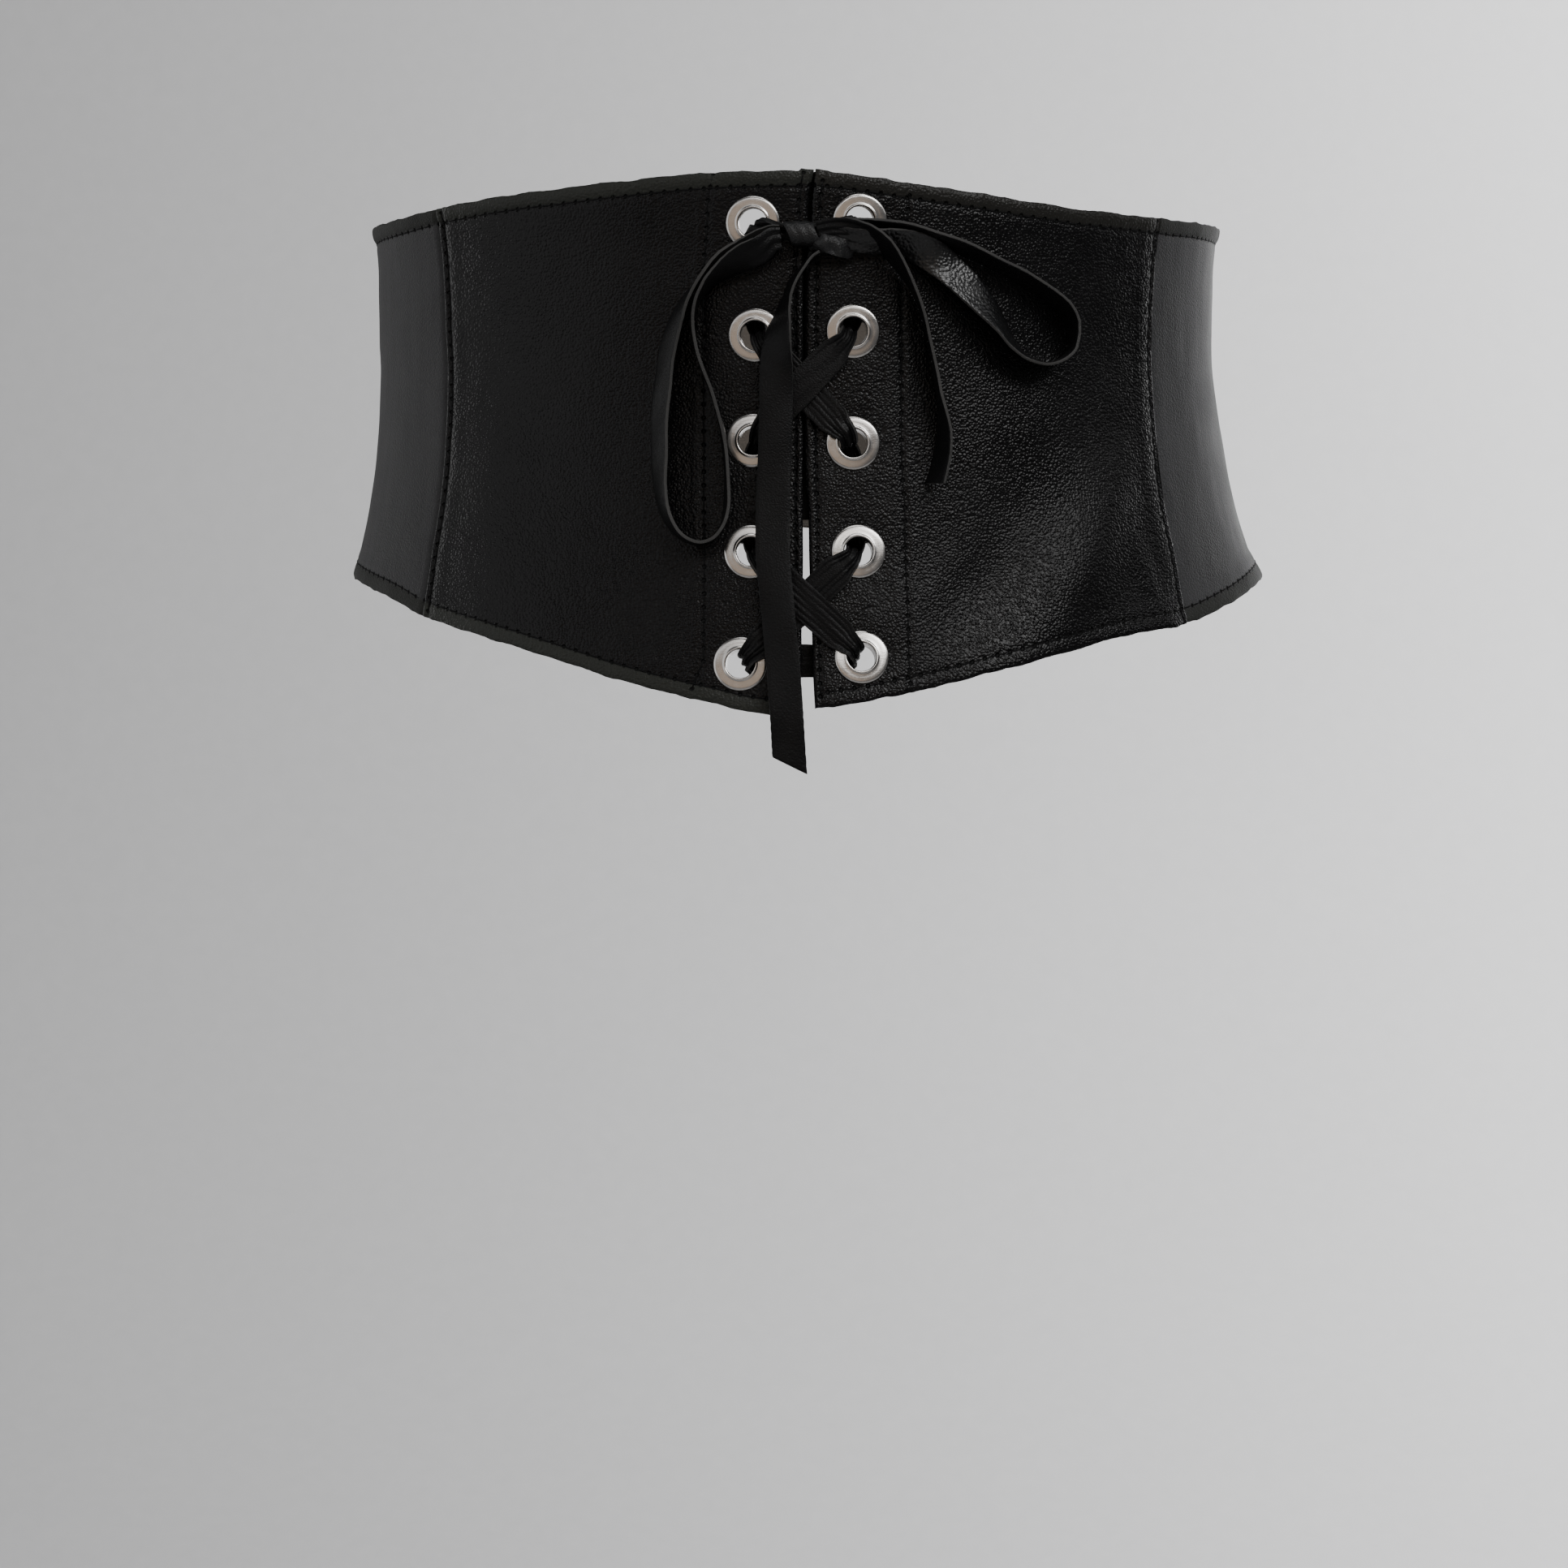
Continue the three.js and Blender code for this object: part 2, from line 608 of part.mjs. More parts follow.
// The lace inside the eyelets, as one strip from the knot through all ten and back.
function lacing(name, places) {
  const overRim = EYELET_RISE + 1.7 * CLEARANCE + LACE_FOLDED_THICKNESS / 2;
  const behindRoll = LEATHER + WASHER_GAP + WASHER_THICKNESS + CLEARANCE + EYELET_WALL
    + 3 * CLEARANCE + LACE_FOLDED_THICKNESS / 2;
  const rim = EYELET_WIDTH / 2;
  const hole = EYELET_HOLE / 2;
  const sections = [];
  let edge = new THREE.Vector3(0, 0, 1);
  const add = (middle, across, share) => {
    const next = across.clone();
    if (next.dot(edge) < 0) next.negate();
    edge = next;
    const width = THREE.MathUtils.lerp(LACE_WIDTH, LACE_FOLDED_WIDTH, share);
    const thickness = THREE.MathUtils.lerp(LACE_THICKNESS, LACE_FOLDED_THICKNESS, share);
    sections.push({ middle, edge: next, width, thickness });
  };
  // A place beside an eyelet's middle: so far along a way in the plane of its rim, and so far in front of the leather.
  const beside = (place, way, along, distance) => {
    const inPlane = new THREE.Vector3(way.x, 0, way.y);
    inPlane.addScaledVector(place.facing, -inPlane.dot(place.facing)).normalize();
    return place.centre.clone().addScaledVector(inPlane, along).addScaledVector(place.facing, distance);
  };
  const heading = (a, b) => new THREE.Vector2(b.x - a.x, b.z - a.z).normalize();
  const acrossOf = (way) => new THREE.Vector3(-way.y, 0, way.x);
  // Through a hole the lace lies against the side that both of its runs pull towards.
  const throughHole = (place, wayIn, wayOut, fromFront) => {
    const pull = wayOut.clone().sub(wayIn).normalize();
    const across = acrossOf(wayIn).dot(acrossOf(wayOut)) < 0
      ? acrossOf(wayIn).sub(acrossOf(wayOut)) : acrossOf(wayIn).add(acrossOf(wayOut));
    const distances = fromFront ? [0, -0.55 * behindRoll] : [-0.55 * behindRoll, 0];
    for (const distance of distances) add(beside(place, pull, 0.27 * hole, distance), across.normalize(), 1);
  };
  const run = (from, to, front, over) => {
    const way = heading(from, to);
    const across = acrossOf(way);
    const nearHole = 0.72 * hole;
    const pastRim = rim + 0.2 * hole;
    const atRim = front ? overRim : -behindRoll;
    const low = front ? CLEARANCE + LACE_THICKNESS : -(LEATHER + WASHER_GAP + 2 * LACE_THICKNESS);
    const middle = over ? low + LACE_THICKNESS + 2 * CLEARANCE : low;
    const stops = [[nearHole, atRim, 0.85], [rim - 0.35 * hole, atRim, 0.45], [pastRim, 0.95 * atRim, 0.1]];
    for (const [at, distance, share] of stops) add(beside(from, way, at, distance), across, share);
    add(inFront((from.x + to.x) / 2, (from.z + to.z) / 2, middle), across, 0);
    const back = way.clone().negate();
    for (const [at, distance, share] of stops.reverse()) add(beside(to, back, at, distance), across, share);
  };
  const knot = { x: KNOT_X, z: KNOT_Z };
  const stops = LACE_RUNS.map(([from, to, front, over]) => ({ from: places[from], to: places[to], front, over }));
  for (const [x, z, distance] of LACE_START_LEFT) add(inFront(x, z, distance), new THREE.Vector3(0, 0, 1), 1);
  throughHole(stops[0].from, heading(knot, stops[0].from), heading(stops[0].from, stops[0].to), true);
  stops.forEach((stop, i) => {
    run(stop.from, stop.to, stop.front, stop.over);
    const next = stops[i + 1] ? heading(stop.to, stops[i + 1].to) : heading(stop.to, knot);
    throughHole(stop.to, heading(stop.from, stop.to), next, stop.front);
  });
  for (const [x, z, distance] of LACE_END_RIGHT) add(inFront(x, z, distance), new THREE.Vector3(0, 0, 1), 1);
  const strip = new THREE.Mesh(stripGeometry(smoothSections(sections)), laceLeather);
  strip.name = name;
  return strip;
}

// The knot of the bow: the lace wrapped once round itself, with a small lobe where the centre tail leaves it.
function bowKnot(name) {
  const middle = inFront(KNOT_X, KNOT_Z, CLEARANCE + 0.9 + KNOT_DEPTH / 2);
  const wrap = new THREE.CylinderGeometry(0.5, 0.5, KNOT_WIDTH, ROUND_SIDES);
  wrap.rotateZ(Math.PI / 2);
  wrap.scale(1, KNOT_DEPTH, KNOT_HEIGHT);
  wrap.translate(middle.x, middle.y, middle.z);
  const lobe = new THREE.SphereGeometry(0.5, ROUND_SIDES, ROUND_SIDES / 2);
  lobe.scale(0.42 * KNOT_WIDTH, 0.7 * KNOT_DEPTH, 0.5 * KNOT_HEIGHT);
  lobe.translate(middle.x + 0.29 * KNOT_WIDTH, middle.y, middle.z - 0.5 * KNOT_HEIGHT);
  const knot = new THREE.Mesh(toGeometry(toSolid(wrap).add(toSolid(lobe))), laceLeather);
  knot.name = name;
  return knot;
}

const belt = new THREE.Group();
const places = eyeletPlaces();

belt.add(frontPanel('front_panel_left', -1, places));
belt.add(frontPanel('front_panel_right', 1, places));
belt.add(sidePanel('side_panel_left', -1));
belt.add(sidePanel('side_panel_right', 1));

for (const [name, place] of Object.entries(places)) {
  const pair = new THREE.Group();
  faceAlong(pair, place);
  const eyelet = new THREE.Mesh(eyeletGeometry(), nickel);
  eyelet.name = `eyelet_${name}`;
  const washer = new THREE.Mesh(washerGeometry(), nickel);
  washer.name = `washer_${name}`;
  pair.add(eyelet, washer);
  belt.add(pair);
}

belt.add(lacing('lacing', places));
belt.add(bowKnot('bow_knot'));
belt.add(bowStrip('bow_loop_left', LEFT_LOOP, 0));
belt.add(bowStrip('bow_loop_right', RIGHT_LOOP, 0));
belt.add(bowStrip('bow_tail_right', RIGHT_TAIL, 0));
belt.add(bowStrip('bow_tail_centre', CENTRE_TAIL, TAIL_CUT_SLANT));

export default belt;
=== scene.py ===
# A black leather corset belt, laced through metal eyelets in front and tied in a bow, on its CAD frame.
import math

import bmesh
import bpy
import numpy as np
from mathutils import Matrix, Vector


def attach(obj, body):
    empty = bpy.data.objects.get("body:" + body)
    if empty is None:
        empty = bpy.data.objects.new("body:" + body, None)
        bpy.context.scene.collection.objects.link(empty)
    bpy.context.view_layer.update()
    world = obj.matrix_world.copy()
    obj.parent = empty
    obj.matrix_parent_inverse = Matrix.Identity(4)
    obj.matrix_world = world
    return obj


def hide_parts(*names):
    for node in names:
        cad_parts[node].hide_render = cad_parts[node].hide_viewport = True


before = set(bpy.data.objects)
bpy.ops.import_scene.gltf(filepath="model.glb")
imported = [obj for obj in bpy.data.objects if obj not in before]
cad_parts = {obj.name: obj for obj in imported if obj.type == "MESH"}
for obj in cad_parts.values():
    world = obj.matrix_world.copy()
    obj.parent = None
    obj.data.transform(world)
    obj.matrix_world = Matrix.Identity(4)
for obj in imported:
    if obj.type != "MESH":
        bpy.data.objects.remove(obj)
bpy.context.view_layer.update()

# The camera stands two metres in front of the belt, a little below it, with a long lens, and looks level.
camera_data = bpy.data.cameras.new("photo_camera")
camera_data.sensor_width = 36
camera_data.lens = 139.23
camera_data.clip_end = 20
camera = bpy.data.objects.new("photo_camera", camera_data)
camera.location = (-0.00509, -2, -0.144)
camera.rotation_euler = (math.pi / 2, 0, 0)
bpy.context.scene.collection.objects.link(camera)
bpy.context.scene.camera = camera

# The bow's two loops and two tails: flat lace, 10.4 mm wide and 1 mm thick, smooth grain on one side and
# matt flesh on the other, narrow and creased where it leaves the knot. Sizes here and below are in
# millimetres, and places are measured from the leather behind them.
WAIST = (137.0, 102.0)
TO_HIP = (21.0, 10.5)
TO_RIBS = (2.6, 2.0)
FRONT_TOP = 48.6
FRONT_BOTTOM = 122.6
FLARE = [(-1.05, 1.04, 1.04), (-0.82, 0.78, 0.78), (-0.62, 0.55, 0.5), (-0.42, 0.25, 0.24),
         (-0.2, 0.06, 0.06), (0, 0, 0), (0.45, 0.16, 0.2), (0.7, 0.5, 0.5), (1, 1, 1)]
FOLDS = [(36, 0.62, 0.34, 0.09, 52, 2.4), (24.5, 0.57, 0.3, 0.08, 58, -0.75),
         (46, 0.58, 0.22, 0.09, 60, -0.35), (17, 0.66, 0.16, 0.06, 40, 0.64), (-40, 0.6, 0.3, 0.12, -60, 0.8),
         (48.5, 0.7, 0.15, 0.035, -75, 0.65), (21, 0.64, 0.2, 0.16, 12, -1.4)]
ASKEW, ASKEW_BELOW, ASKEW_OVER = 1.7, -28, 40


def read_table(rows, column, at):
    """A column of a table at one or many places, on a smooth curve through its rows."""
    keys = np.array([row[0] for row in rows], float)
    values = np.array([row[column] for row in rows], float)
    at = np.clip(at, keys[0], keys[-1])
    i = np.clip(np.searchsorted(keys, at, side="right") - 1, 0, len(keys) - 2)
    before, after = np.maximum(i - 1, 0), np.minimum(i + 2, len(keys) - 1)
    step = keys[i + 1] - keys[i]
    t = (at - keys[i]) / step
    slope_in = (values[i + 1] - values[before]) / (keys[i + 1] - keys[before])
    slope_out = (values[after] - values[i]) / (keys[after] - keys[i])
    low = (1 + 2 * t) * (1 - t) ** 2 * values[i] + t * (1 - t) ** 2 * step * slope_in
    return low + t * t * (3 - 2 * t) * values[i + 1] + t * t * (t - 1) * step * slope_out


def leather_half(z):
    """Half width and half depth over the leather at a height."""
    z = np.asarray(z, float)
    share = np.where(z > 0, z / FRONT_TOP, z / FRONT_BOTTOM)
    wide = WAIST[0] + np.where(z > 0, TO_RIBS[0], TO_HIP[0]) * read_table(FLARE, 1, share)
    deep = WAIST[1] + np.where(z > 0, TO_RIBS[1], TO_HIP[1]) * read_table(FLARE, 2, share)
    return wide, deep


def leather_point(angle, z):
    """Places on the outside of the leather, at angles from the front in degrees and heights."""
    angle, z = np.broadcast_arrays(np.asarray(angle, float), np.asarray(z, float))
    wide, deep = leather_half(z)
    fold = np.zeros_like(z)
    for middle, drop, half_length, half_width, slope, height in FOLDS:
        along = np.radians(angle - middle) * WAIST[0]
        up = z + drop * FRONT_BOTTOM
        u = along * math.cos(math.radians(slope)) + up * math.sin(math.radians(slope))
        v = up * math.cos(math.radians(slope)) - along * math.sin(math.radians(slope))
        far = (u / (half_length * FRONT_BOTTOM)) ** 2 + (v / (half_width * FRONT_BOTTOM)) ** 2
        fold = fold + height * np.exp(-far)
    turn = np.radians(angle)
    askew = ASKEW * np.clip((ASKEW_BELOW - z) / ASKEW_OVER, -0.7, 1.2) * np.sin(turn) ** 4
    return np.stack([(wide + fold) * np.sin(turn) + askew, -(deep + fold) * np.cos(turn), z], -1)


def leather_outward(angle, z):
    """The way the leather faces there."""
    around = leather_point(angle + 0.5, z) - leather_point(angle - 0.5, z)
    up = leather_point(angle, z + 0.5) - leather_point(angle, z - 0.5)
    facing = np.cross(around, up)
    return facing / np.linalg.norm(facing, axis=-1, keepdims=True)


def angle_at(x, z):
    return np.degrees(np.arcsin(x / leather_half(z)[0]))


def in_front(x, z, distance):
    """A place straight in front of the leather, as the viewer sees it."""
    on_belt = max(z, -FRONT_BOTTOM)
    return np.array([x, leather_point(angle_at(x, on_belt), on_belt)[1] - distance, z])


def smooth_route(points, steps):
    """More places on a smooth curve through a row of places."""
    points = np.asarray(points, float)
    ends = np.vstack([2 * points[0] - points[1], points, 2 * points[-1] - points[-2]])
    route = []
    for p0, p1, p2, p3 in zip(ends, ends[1:], ends[2:], ends[3:]):
        a, b, c = (max(float(np.linalg.norm(q - p)), 1e-6) ** 0.5 for p, q in ((p0, p1), (p1, p2), (p2, p3)))
        start = (p1 - p0) / a - (p2 - p0) / (a + b) + (p2 - p1) / b
        stop = (p2 - p1) / b - (p3 - p1) / (b + c) + (p3 - p2) / c
        start, stop = start * b, stop * b
        for step in range(steps):
            t = step / steps
            route.append((2 * t ** 3 - 3 * t * t + 1) * p1 + (t ** 3 - 2 * t * t + t) * start
                         + (3 * t * t - 2 * t ** 3) * p2 + (t ** 3 - t * t) * stop)
    route.append(points[-1])
    return np.array(route)


def lengths_along(route):
    return np.concatenate([[0], np.cumsum(np.linalg.norm(np.diff(route, axis=0), axis=1))])


def spread_over(rows, values):
    """Values that are given for whole rows, at the row numbers of a route."""
    columns = np.array(values, float).reshape(len(values), -1).T
    return np.squeeze(np.stack([np.interp(rows, range(len(values)), column) for column in columns], 1))


def strip_frame(route, row_edges):
    """Along a strip's route: the row numbers, and the ways along it, across it and out of its face."""
    rows = np.linspace(0, len(row_edges) - 1, len(route))
    ways = np.gradient(route, axis=0)
    ways /= np.linalg.norm(ways, axis=1, keepdims=True)
    edges = spread_over(rows, row_edges)
    edges -= ways * np.sum(edges * ways, axis=1, keepdims=True)
    edges /= np.linalg.norm(edges, axis=1, keepdims=True)
    return rows, ways, edges, np.cross(ways, edges)


def piece_of(form, name, materials):
    """A finished form as an object of the scene, smooth all over."""
    for face in form.faces:
        face.smooth = True
    mesh = bpy.data.meshes.new(name)
    form.to_mesh(mesh)
    form.free()
    for material in materials:
        mesh.materials.append(material)
    piece = bpy.data.objects.new(name, mesh)
    bpy.context.scene.collection.objects.link(piece)
    return piece


def hide_sheet(name, places, surface, materials, thickness, soft_edge, back=0.0, marks=(), holes=()):
    """A sheet of hide through a grid of places, given its thickness and softened edges. The grid's lengths go
    into its UV map, in millimetres. The materials are those of the face, the back and the cut edge. Marks are
    named numbers for each place, and holes are places with a radius to punch out."""
    along, across = places.shape[0] - 1, places.shape[1] - 1
    form = bmesh.new()
    bmesh.ops.create_grid(form, x_segments=along, y_segments=across, size=1.0)
    lengths = form.loops.layers.uv.new("surface")
    layers = [(form.verts.layers.float_vector.new(mark), values) for mark, values in marks]
    spots = {}
    for vertex in form.verts:
        spot = round((vertex.co.x + 1) / 2 * along), round((vertex.co.y + 1) / 2 * across)
        spots[vertex] = spot
        vertex.co = places[spot] * 0.001
        for layer, values in layers:
            vertex[layer] = values[spot]
    for face in form.faces:
        for corner in face.loops:
            corner[lengths].uv = surface[spots[corner.vert]]
    punched = [face for face in form.faces
               if any((face.calc_center_median() - middle).length < radius for middle, radius in holes)]
    bmesh.ops.delete(form, geom=punched, context="FACES")
    sheet = piece_of(form, name, materials)
    wall = sheet.modifiers.new("thickness", "SOLIDIFY")
    wall.thickness = thickness * 0.001
    wall.offset = back
    wall.material_offset = 1
    wall.material_offset_rim = 2
    if soft_edge:
        edge = sheet.modifiers.new("soft_edges", "BEVEL")
        edge.width = soft_edge * 0.001
        edge.segments = 2
        edge.limit_method = "ANGLE"
        edge.angle_limit = math.radians(50)
    return sheet


def set_inputs(node, **values):
    """The node, with values on its inputs, whose names are written here with underscores for spaces."""
    for name, value in values.items():
        node.inputs[name.replace("_", " ")].default_value = value
    return node


def hide_material(name, colour, roughness, grain, grain_height, fleck, sheen=0.0, streak=0.0, shine=0.4):
    """Dyed hide: pebbled grain of one size, slightly uneven in colour and gloss, with faint upright streaks."""
    material = bpy.data.materials.new(name)
    material.use_nodes = True
    nodes, links = material.node_tree.nodes, material.node_tree.links
    shader = nodes["Principled BSDF"]
    shader.inputs["Specular IOR Level"].default_value = shine
    shader.inputs["Sheen Weight"].default_value = sheen
    shader.inputs["Sheen Roughness"].default_value = 0.6
    place = nodes.new("ShaderNodeTexCoord")
    pebbles = nodes.new("ShaderNodeTexVoronoi")
    pebbles.feature = "SMOOTH_F1"
    set_inputs(pebbles, Smoothness=0.55, Scale=1000 / grain, Randomness=0.9)
    creases = set_inputs(nodes.new("ShaderNodeTexNoise"), Scale=700 / grain, Detail=4, Distortion=0.4)
    clouds = set_inputs(nodes.new("ShaderNodeTexNoise"), Scale=38, Detail=5)
    stretch = set_inputs(nodes.new("ShaderNodeMapping"), Scale=(1, 1, 0.12))
    streaks = set_inputs(nodes.new("ShaderNodeTexNoise"), Scale=260, Detail=3)
    for texture in (pebbles, creases, clouds, stretch):
        links.new(place.outputs["Object"], texture.inputs["Vector"])
    links.new(stretch.outputs["Vector"], streaks.inputs["Vector"])
    tone = nodes.new("ShaderNodeValToRGB")
    tone.color_ramp.elements[0].position = 0.3
    tone.color_ramp.elements[0].color = (*(c * (1 - fleck) for c in colour), 1)
    tone.color_ramp.elements[1].position = 0.72
    tone.color_ramp.elements[1].color = (*(c * (1 + fleck) for c in colour), 1)
    links.new(clouds.outputs["Fac"], tone.inputs["Fac"])
    links.new(tone.outputs["Color"], shader.inputs["Base Color"])
    gloss = set_inputs(nodes.new("ShaderNodeMapRange"), From_Min=0.3, From_Max=0.7,
                       To_Min=roughness - 0.05, To_Max=roughness + 0.07)
    links.new(clouds.outputs["Fac"], gloss.inputs["Value"])
    links.new(gloss.outputs["Result"], shader.inputs["Roughness"])
    height = nodes.new("ShaderNodeMath")
    height.operation = "MULTIPLY_ADD"
    height.inputs[1].default_value = 0.55
    links.new(creases.outputs["Fac"], height.inputs[0])
    links.new(pebbles.outputs["Distance"], height.inputs[2])
    relief = set_inputs(nodes.new("ShaderNodeBump"), Strength=1, Distance=grain_height * 0.001)
    relief.invert = True
    links.new(height.outputs["Value"], relief.inputs["Height"])
    pulled = set_inputs(nodes.new("ShaderNodeBump"), Strength=1, Distance=streak * 0.001)
    links.new(streaks.outputs["Fac"], pulled.inputs["Height"])
    links.new(relief.outputs["Normal"], pulled.inputs["Normal"])
    links.new(pulled.outputs["Normal"], shader.inputs["Normal"])
    return material


lace_grain = hide_material("lace_grain", (0.0045, 0.0045, 0.0049), 0.42, 0.55, 0.1, 0.25, shine=0.18)
lace_flesh = hide_material("lace_flesh", (0.007, 0.0068, 0.0066), 0.85, 0.35, 0.08, 0.3, shine=0.15)
lace_worn = hide_material("lace_worn", (0.005, 0.005, 0.0054), 0.3, 1.0, 0.22, 0.25, shine=0.6)
lace_cut = hide_material("lace_cut_edge", (0.042, 0.041, 0.04), 0.7, 0.4, 0.1, 0.3)
# The knot's lace: a lighter copy of the lace, a painted highlight for the light on the knot's upturned faces.
lace_knot_painted_light = hide_material("lace_knot_painted_light", (0.012, 0.0122, 0.013), 0.45, 0.5, 0.14, 0.4, streak=0.1)

LACE_WIDTH = 10.4
LACE_THICKNESS = 1.0
LEFT_LOOP = [
    (-6.2, 27.2, 4.2, 84, 6.6), (-8.9, 26.8, 4.5, 78, 7.2), (-12.5, 25, 4.9, 68, 8.6),
    (-17.6, 22.1, 5.6, 50, 10.2), (-23.7, 19.7, 6, 28, 10.4), (-29.3, 15.8, 6.3, 8, 10.4),
    (-34.6, 9.6, 6.5, -8, 10.4), (-38.2, 2.7, 6.8, -20, 10.4), (-41.3, -7.9, 7.1, -27, 10.4),
    (-43, -19.5, 7, -28, 10.4), (-44, -31, 7, -28, 10.4), (-44, -42.5, 6.8, -25, 10.4),
    (-43.6, -52, 6.6, -20, 10.4), (-42.2, -59, 6.4, -13, 10.4), (-39, -64.6, 6.3, -8, 10.4),
    (-35.1, -67.8, 6.3, -4, 10.4), (-30.8, -68.8, 6.2, 0, 10.4), (-26.9, -67.1, 6.3, 3, 10.4),
    (-24.4, -63.4, 6.3, 5, 10.4), (-23, -57.9, 6.3, 6, 10.4), (-22.8, -50.4, 6.3, 6, 10.4),
    (-23.4, -41.6, 6.3, 4, 10.4), (-24.8, -31.9, 6.3, 2, 10.4), (-27, -23.8, 6.2, 0, 10.4),
    (-30, -15.4, 6.2, 0, 10.4), (-32.8, -7, 6.3, 2, 10.4), (-33.8, -0.1, 6.3, 2, 10.4),
    (-32.6, 5.9, 6.3, -2, 10.4), (-29.4, 11.4, 7.1, -10, 10.4), (-24.2, 15.9, 8.6, -28, 10.4),
    (-17.8, 20, 9.7, -48, 10.2), (-12.2, 22.8, 8.5, -66, 8.6), (-8.9, 25.7, 7, -78, 7.2),
    (-6.2, 26.2, 6, -84, 6.6)]
RIGHT_LOOP = [
    (5.2, 29.3, 4.1, -86, 5), (9.3, 29.7, 4.4, -66, 5.4), (14.2, 29.9, 5, -44, 6.6),
    (19.5, 29.8, 5.4, -36, 8.6), (26.1, 29.4, 5.5, -28, 10.2), (33, 28.8, 6.3, -22, 10.4),
    (41, 27, 6.3, -18, 10.4), (48.6, 24.7, 6.3, -18, 10.4), (56.2, 21.7, 6.3, -18, 10.4),
    (63.8, 18.1, 6.3, -18, 10.4), (71.5, 14.4, 6.3, -18, 10.4), (78.6, 10.1, 6.3, -20, 10.4),
    (83.4, 5.9, 6.3, -22, 10.4), (85.9, 1.8, 6.3, -22, 10.4), (86.4, -2.4, 6.3, -20, 10.4),
    (85.7, -6.7, 6.3, -12, 10.4), (82.5, -10.1, 6.3, -5, 10.4), (77.5, -11.8, 6.3, -2, 10.4),
    (71.9, -10.3, 6.3, -4, 10.4), (67.3, -6.4, 6.4, -10, 10.4), (63.2, -0.5, 6.9, -24, 10.4),
    (58.4, 5.7, 7, -44, 10.4), (52.4, 12, 6.9, -61, 10.4), (46.6, 17.2, 6.2, -69, 10.4),
    (41.2, 21.3, 6, -92, 10.4), (35.8, 24, 6.2, -120, 10.4), (30.3, 25.4, 6.8, -138, 10.2),
    (24.3, 25.4, 7.4, -134, 9.6), (18.9, 25.6, 7.4, -126, 8.8), (14, 26.8, 6.8, -126, 7),
    (9.1, 28.2, 5.9, -116, 5.6), (5.2, 28.6, 5.6, -94, 5.2)]
RIGHT_TAIL = [
    (5.2, 29, 7.1, -86, 4.8), (9.3, 29.8, 7.4, -80, 5), (13.5, 29.9, 8.2, -62, 5.6),
    (18, 29, 9.1, -42, 7), (22.2, 27.3, 9.2, -30, 9), (26.1, 24.2, 8.6, -24, 10.4),
    (30.3, 19, 7.6, -16, 10.4), (34.7, 12, 6.7, -8, 10.4), (38, 4.2, 6.3, -2, 10.4),
    (40.5, -4.5, 6.3, 0, 10.4), (42.1, -13.4, 6.2, -2, 10.4), (43.5, -21.6, 6.1, -6, 10.4),
    (44.6, -28.3, 6, -14, 10.4), (45.1, -34.3, 5.8, -22, 10.4), (44.6, -41, 5.6, -28, 10.4),
    (43.5, -45.7, 5.5, -30, 10.4), (42.2, -50.2, 5.5, -30, 10.4)]
CENTRE_TAIL = [
    (6, 21.3, 5.2, 8, 6), (3.6, 19.8, 5.6, 4, 7.4), (0.8, 17, 6.2, -4, 9.6), (-2, 13.3, 6.5, -10, 10.4),
    (-3.8, 8.7, 6.5, -12, 10.4), (-5.5, 2.7, 6.8, -24, 10.4), (-6.9, -3.7, 7.6, -46, 10.4),
    (-7.4, -9.5, 7.4, -66, 10.4), (-7.5, -15, 7, -82, 10.4), (-7.6, -23.5, 6.6, -90, 10.4),
    (-8.1, -42.6, 6.1, -90, 10.4), (-8.6, -60, 6.1, -90, 10.8), (-8.4, -75.6, 6.3, -88, 10.6),
    (-7.4, -85.7, 6.2, -86, 10.4), (-6.6, -94.6, 6, -84, 10.4), (-5.6, -104.7, 5.8, -88, 10.4),
    (-4.8, -114.8, 5.6, -92, 10.4), (-4.2, -123.6, 5.4, -92, 10.4), (-3.7, -132.4, 5.2, -90, 10.4),
    (-3.3, -138.4, 5.2, -90, 10.4)]


def free_lace(name, stands_for, rows, cut_slant=0.0, grain=lace_grain):
    """One loop or tail, from rows of x, z, distance in front of the leather, lean from edge-on and width."""
    middles = np.array([in_front(x, z, distance) for x, z, distance, _, _ in rows])
    route = smooth_route(middles, 6)
    towards = np.array([0.0, -1.0, 0.0])
    row_edges = []
    for before, after, row in zip([middles[0], *middles], [*middles[1:], middles[-1]], rows):
        across = np.cross(after - before, towards)
        across /= np.linalg.norm(across)
        lean = math.radians(row[3])
        row_edges.append(math.cos(lean) * towards + math.sin(lean) * across)
    marks, ways, edges, faces = strip_frame(route, row_edges)
    widths = spread_over(marks, [row[4] for row in rows])
    along = lengths_along(route)
    across = np.linspace(-1, 1, 9)
    gathered = np.clip((LACE_WIDTH - widths) / 4, 0, 1)
    crown = 0.22 * np.sin(along / 9.0 + len(rows)) + 0.16
    last = np.clip((along - along[-1] + 9) / 9, 0, 1)
    places = np.zeros((len(route), len(across), 3))
    surface = np.zeros((len(route), len(across), 2))
    for j, share in enumerate(across):
        wave = 0.12 * np.sin(along / 3.1 + 2.2 * share)
        creased = gathered * 0.35 * math.cos(2.4 * math.pi * share)
        off = crown * (1 - share * share) + wave + creased
        rough = 0.07 * np.sin(along * 1.9 + 3 * share) * abs(share) ** 3
        places[:, j] = route + edges * (share * widths / 2 + rough)[:, None] + faces * off[:, None]
        places[:, j] += ways * (last * cut_slant * share / 2)[:, None]
        surface[:, j, 0] = along
        surface[:, j, 1] = share * LACE_WIDTH / 2
    lace = hide_sheet(name, places, surface, (grain, lace_flesh, lace_cut), LACE_THICKNESS, 0.22)
    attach(lace, "root")
    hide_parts(stands_for)


